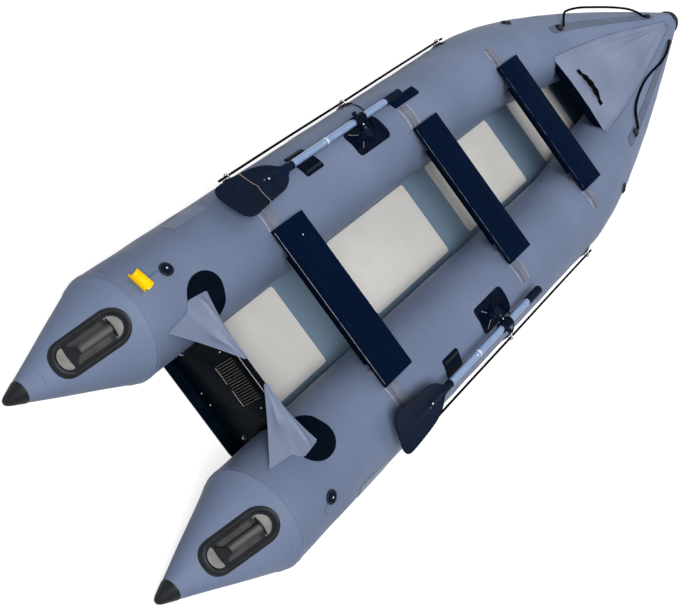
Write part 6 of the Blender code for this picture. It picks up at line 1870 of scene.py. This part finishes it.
# %% Beads, rivets and the blade's cord
# y, across and out of the blade's plane in mm, radius in mm, finish
BLADE_RIVETS = ((-1.052, 0.0, 8.4, 4.2, WHITE_PLASTIC), (-1.070, 0.007, 6.6, 2.8, GREY_RUBBER),
                (-0.932, 0.006, 15.4, 2.6, GREY_RUBBER))
BLADE_CORD_ROUTE = ((-1.1440, -0.0795, 0.6), (-1.1400, -0.072, 4.4), (-1.1260, -0.03, 3.9),
                    (-1.1150, 0.0, 7.2), (-1.1145, 0.018, 5.2), (-1.1150, 0.05, 3.6), (-1.1170, 0.082, 4.6),
                    (-1.1175, 0.0882, 0.8))
for label, side in SIDES.items():
    plastic = {"body": f"{label}_oar", "slot": "black_plastic"}
    across, out = blade_axes(side)
    y = np.concatenate([np.linspace(-0.955, -1.24, 46), np.linspace(-1.244, -1.2705, 14)])
    outer, inner = (NECK_RADIUS + (blade_half_width(y, flag) - NECK_RADIUS) * flatness_at(y) - 1.4 * MM
                    for flag in (True, False))
    edge = np.concatenate([np.stack([y, outer], -1), np.stack([y[::-1], -inner[::-1]], -1)])
    points = (np.array([side * OAR_X, 0, OAR_Z]) + edge[:, :1] * [0, 1, 0] + edge[:, 1:] * across
              + (blade_scoop(edge[:, 0], edge[:, 1]) + 0.6 * MM)[:, None] * out)
    bead = smooth_path(points, 5 * MM)
    loft(f"{label}_blade_bead", sweep(bead, circle(12) * 2.6 * MM, out), NYLON, **plastic)
    for number, (at, v, lift, size, finish) in enumerate(BLADE_RIVETS):
        spot = np.array([side * OAR_X, at, OAR_Z]) + v * across + lift * MM * out
        rivet(f"{label}_blade_rivet_{number}", spot, out, size * MM, finish, height=1.6 * MM, **plastic)

across, out = blade_axes(-1)
cord_points = [np.array([-OAR_X, y, OAR_Z]) + v * across + (blade_scoop(y, v) + height * MM) * out
               for y, v, height in BLADE_CORD_ROUTE]
string("port_blade_cord", cord_points, 1.1 * MM, TAN_CORD, body="port_oar", slot="black_rope")

# %% [markdown]
# ### Oar holders
# A rubber patch under each shaft keeps the stowed oar off the cloth. Two low ridges stand on either side.

# %% Oar holders
HOLDER_Y = -0.783
HOLDER_ANGLE = 26.8
RIDGE_ANGLES = (14.5, 41.0)
for label, side in SIDES.items():
    tube_patch(f"{label}_oar_holder_rubber", side, HOLDER_Y, HOLDER_ANGLE, rounded(0.108, 0.118, 0.008, 120),
               soft_levels(4.0 * MM, 0.03), NAVY_RUBBER, slot="black_rubber",
               replaces=f"{label}_oar_holder")
    for number, angle in enumerate(RIDGE_ANGLES):
        tube_patch(f"{label}_oar_holder_ridge_{number}", side, HOLDER_Y, angle,
                   rounded(0.094, 0.010, 0.004, 60), soft_levels(3.2 * MM, 0.12), RUBBER,
                   lift=PATCH_LIFT + 3.6 * MM, slot="black_rubber")
print("holders at", HOLDER_Y)

# %% [markdown]
# ## Rings and lanyards
# Each lifeline runs through steel rings. A ring is held by a strap sewn to a round patch. A thin black
# lanyard ties the oarlock to the middle ring, so that the oar isn't lost.

# %% Rings and lanyards
HOOP_RADIUS = 11.1 * MM
WIRE_RADIUS = 2.6 * MM
LANYARD_START_Y = OARLOCK_PAD_Y + (RING_YS[1] - OARLOCK_PAD_Y) * 0.35
LANYARD_ROUTE = ((LANYARD_START_Y, 12.0, 6.5), (-0.358, 20.0, 6.5), (-0.330, 30.0, 4.5), (-0.300, 45.0, 4.2),
                 (-0.278, 60.0, 5.0), (-0.270, 69.0, 9.0))
turn = turns(48)[:, None]
small = circle(14)
for label, side in SIDES.items():
    for name, ring_y in zip(("aft", "middle", "bow"), RING_YS):
        tube_patch(f"{label}_{name}_ring_disc", side, ring_y, RING_ANGLE, circle(64) * 0.036,
                   soft_levels(2.6 * MM, 0.06), RUBBER, slot="black_rubber",
                   replaces=f"{label}_{name}_ring_patch")
        tube_patch(f"{label}_{name}_ring_strap", side, ring_y, RING_ANGLE, rounded(0.015, 0.052, 0.003, 60),
                   soft_levels(4.6 * MM, 0.10), WEBBING, lift=PATCH_LIFT + 2.0 * MM, slot="black_rubber")
        across, along, out = tube_axes(side, ring_y, RING_ANGLE)
        centre = on_tube(side, ring_y, RING_ANGLE, 15.6 * MM)
        spoke = np.cos(turn) * across + np.sin(turn) * out
        hoop = centre + HOOP_RADIUS * spoke
        wire = WIRE_RADIUS * (small[None, :, :1] * spoke[:, None] + small[None, :, 1:] * along)
        loft(f"{label}_{name}_ring", hoop[:, None] + wire, STEEL, wrap_rows=True, slot="black_rubber")
    string(f"{label}_lanyard", along_tube(side, LANYARD_ROUTE), 2.2 * MM, BLACK_ROPE,
           slot="black_rubber")

# %% [markdown]
# ## Grab strips
# A tapered strip of cloth is welded along the top of each bow tube, with a ridge near either border. A rubber
# anchor on each end holds the grab line.

# %% Grab strips
# Across as a share of the strip's half width, and mm above the tube
STRIP_SECTION = np.array(((-1.0, 0.0), (-1.0, 1.6), (-0.94, 2.6), (-0.84, 3.4), (-0.74, 2.7), (-0.4, 2.6),
                          (0.0, 2.6), (0.4, 2.6), (0.74, 2.7), (0.84, 3.4), (0.94, 2.6), (1.0, 1.6),
                          (1.0, 0.0), (0.5, 0.0), (0.0, 0.0), (-0.5, 0.0)))


def strip_half(y):
    """Half width: 25 mm aft to 14 mm fore, times (1 - (2 |s - 1/2|)^40)^(1/2), which rounds the ends."""
    share = (np.asarray(y) - STRIP_START_Y) / (STRIP_END_Y - STRIP_START_Y)
    return (25 - 11 * share) * MM * np.sqrt(np.clip(1 - (2 * np.abs(share - 0.5)) ** 40, 0.02, 1))


def over_strip(y, across):
    """The angle round the tube of a distance across the strip."""
    return STRIP_ANGLE + np.degrees(across / station(y)[2][:, None])


for label, side in SIDES.items():
    near_end = np.array([1, 3, 6, 9]) * MM
    y = np.unique(np.concatenate([np.linspace(STRIP_START_Y, STRIP_END_Y, 80), STRIP_START_Y + near_end,
                                  STRIP_END_Y - near_end]))
    across = STRIP_SECTION[None, :, 0] * strip_half(y)[:, None]
    rings = on_tube(side, y[:, None], over_strip(y, across), PATCH_LIFT + STRIP_SECTION[None, :, 1] * MM)
    loft(f"{label}_grab_strip_rubber", rings, STRIP_FABRIC, slot="black_rubber",
         replaces=f"{label}_grab_strip")
    for name, start in zip(("aft", "fore"), ANCHOR_STARTS[label]):
        s = np.linspace(0, 1, 25)
        y = start + s * ANCHOR_LENGTH
        crest = (4.5 + 14.5 * np.sqrt(np.clip(1 - (2 * np.abs(s - 0.5)) ** 3, 0, 1))) * MM
        half = float(strip_half(start + ANCHOR_LENGTH / 2)) * (0.62 + 0.16 * np.sin(math.pi * s))
        turn = np.linspace(0, math.pi, 15)
        across = np.concatenate([np.cos(turn), np.linspace(-1, 1, 5)[1:-1]])
        up = np.concatenate([np.sin(turn) ** 0.7, np.zeros(3)])
        angles = over_strip(y, across[None] * half[:, None])
        rings = on_tube(side, y[:, None], angles, 2.2 * MM + up[None] * crest[:, None])
        loft(f"{label}_{name}_anchor", rings, RUBBER, slot="black_rubber")
print("strips", round(STRIP_END_Y - STRIP_START_Y, 3), "long")

# %% [markdown]
# ## Floor and light
# The boat was photographed against plain white, under broad soft light from above. A white floor keeps a
# faint shadow. The world is white to the camera and to reflections, and dimmer as a light, so that the tubes
# stay round.

# %% Stage
def seen_directly(tree):
    """1 for the camera's rays and for rays that a surface reflects or lets through, 0 for scattered ones."""
    rays = node(tree, "LightPath")
    seen = node(tree, "Math", {"operation": "MAXIMUM"},
                {0: rays.outputs["Is Camera Ray"], 1: rays.outputs["Is Glossy Ray"]})
    seen = node(tree, "Math", {"operation": "MAXIMUM"},
                {0: seen.outputs[0], 1: rays.outputs["Is Transmission Ray"]})
    return seen.outputs[0]


def flat_floor(size):
    """A floor that looks white, but sends little light up under the tubes."""
    mesh = bpy.data.meshes.new("studio_floor")
    corners = [(-size, -size, 0), (size, -size, 0), (size, size, 0), (-size, size, 0)]
    mesh.from_pydata(corners, [], [(0, 1, 2, 3)])
    material, tree, shader = start_material("white_floor", 0.9, Specular_IOR_Level=0.0)
    seen = seen_directly(tree)
    two_tone(tree, shader, seen, "4C5058", "9A9A9A")
    shader.inputs["Emission Color"].default_value = (1.0, 1.0, 1.0, 1.0)
    glow = node(tree, "Math", {"operation": "MULTIPLY"}, {0: seen, 1: 0.79})
    tree.links.new(glow.outputs[0], shader.inputs["Emission Strength"])
    mesh.materials.append(material)
    stage = bpy.data.objects.new("studio_floor", mesh)
    bpy.context.scene.collection.objects.link(stage)


def add_sun(name, strength, soft, from_point):
    """A broad light from the direction of a point, soft by an angle in degrees."""
    data = bpy.data.lights.new(name, "SUN")
    data.energy = strength
    data.angle = math.radians(soft)
    sun = bpy.data.objects.new(name, data)
    bpy.context.scene.collection.objects.link(sun)
    away = np.array(from_point) / np.linalg.norm(from_point)
    side = np.cross([0.0, 1.0, 0.0], away)
    side /= np.linalg.norm(side)
    up = np.cross(away, side)
    rows = np.column_stack([side, up, away, np.array(from_point, float)])
    sun.matrix_world = Matrix(rows.tolist()).to_4x4()


def white_world(level):
    """White where it is seen directly, and a dim cool white of this level as a light."""
    world = bpy.data.worlds.new("white_studio")
    bpy.context.scene.world = world
    world.use_nodes = True
    tree = world.node_tree
    tree.nodes.clear()
    lighting = node(tree, "Background", None, {"Color": (0.95, 0.97, 1.0, 1.0), "Strength": level})
    white = node(tree, "Background", None, {"Color": (1.0, 1.0, 1.0, 1.0), "Strength": 1.0})
    both = node(tree, "MixShader", None,
                {0: seen_directly(tree), 1: lighting.outputs[0], 2: white.outputs[0]})
    node(tree, "OutputWorld", None, {"Surface": both.outputs[0]})


flat_floor(40.0)
add_sun("front_softbox", 2.9, 25, (0.5, -3.4, 4.4))
add_sun("overhead_softbox", 0.7, 80, (0.2, 0.8, 6.0))
white_world(0.10)
bpy.context.scene.view_settings.view_transform = "Standard"
print("lights", len(bpy.data.lights))
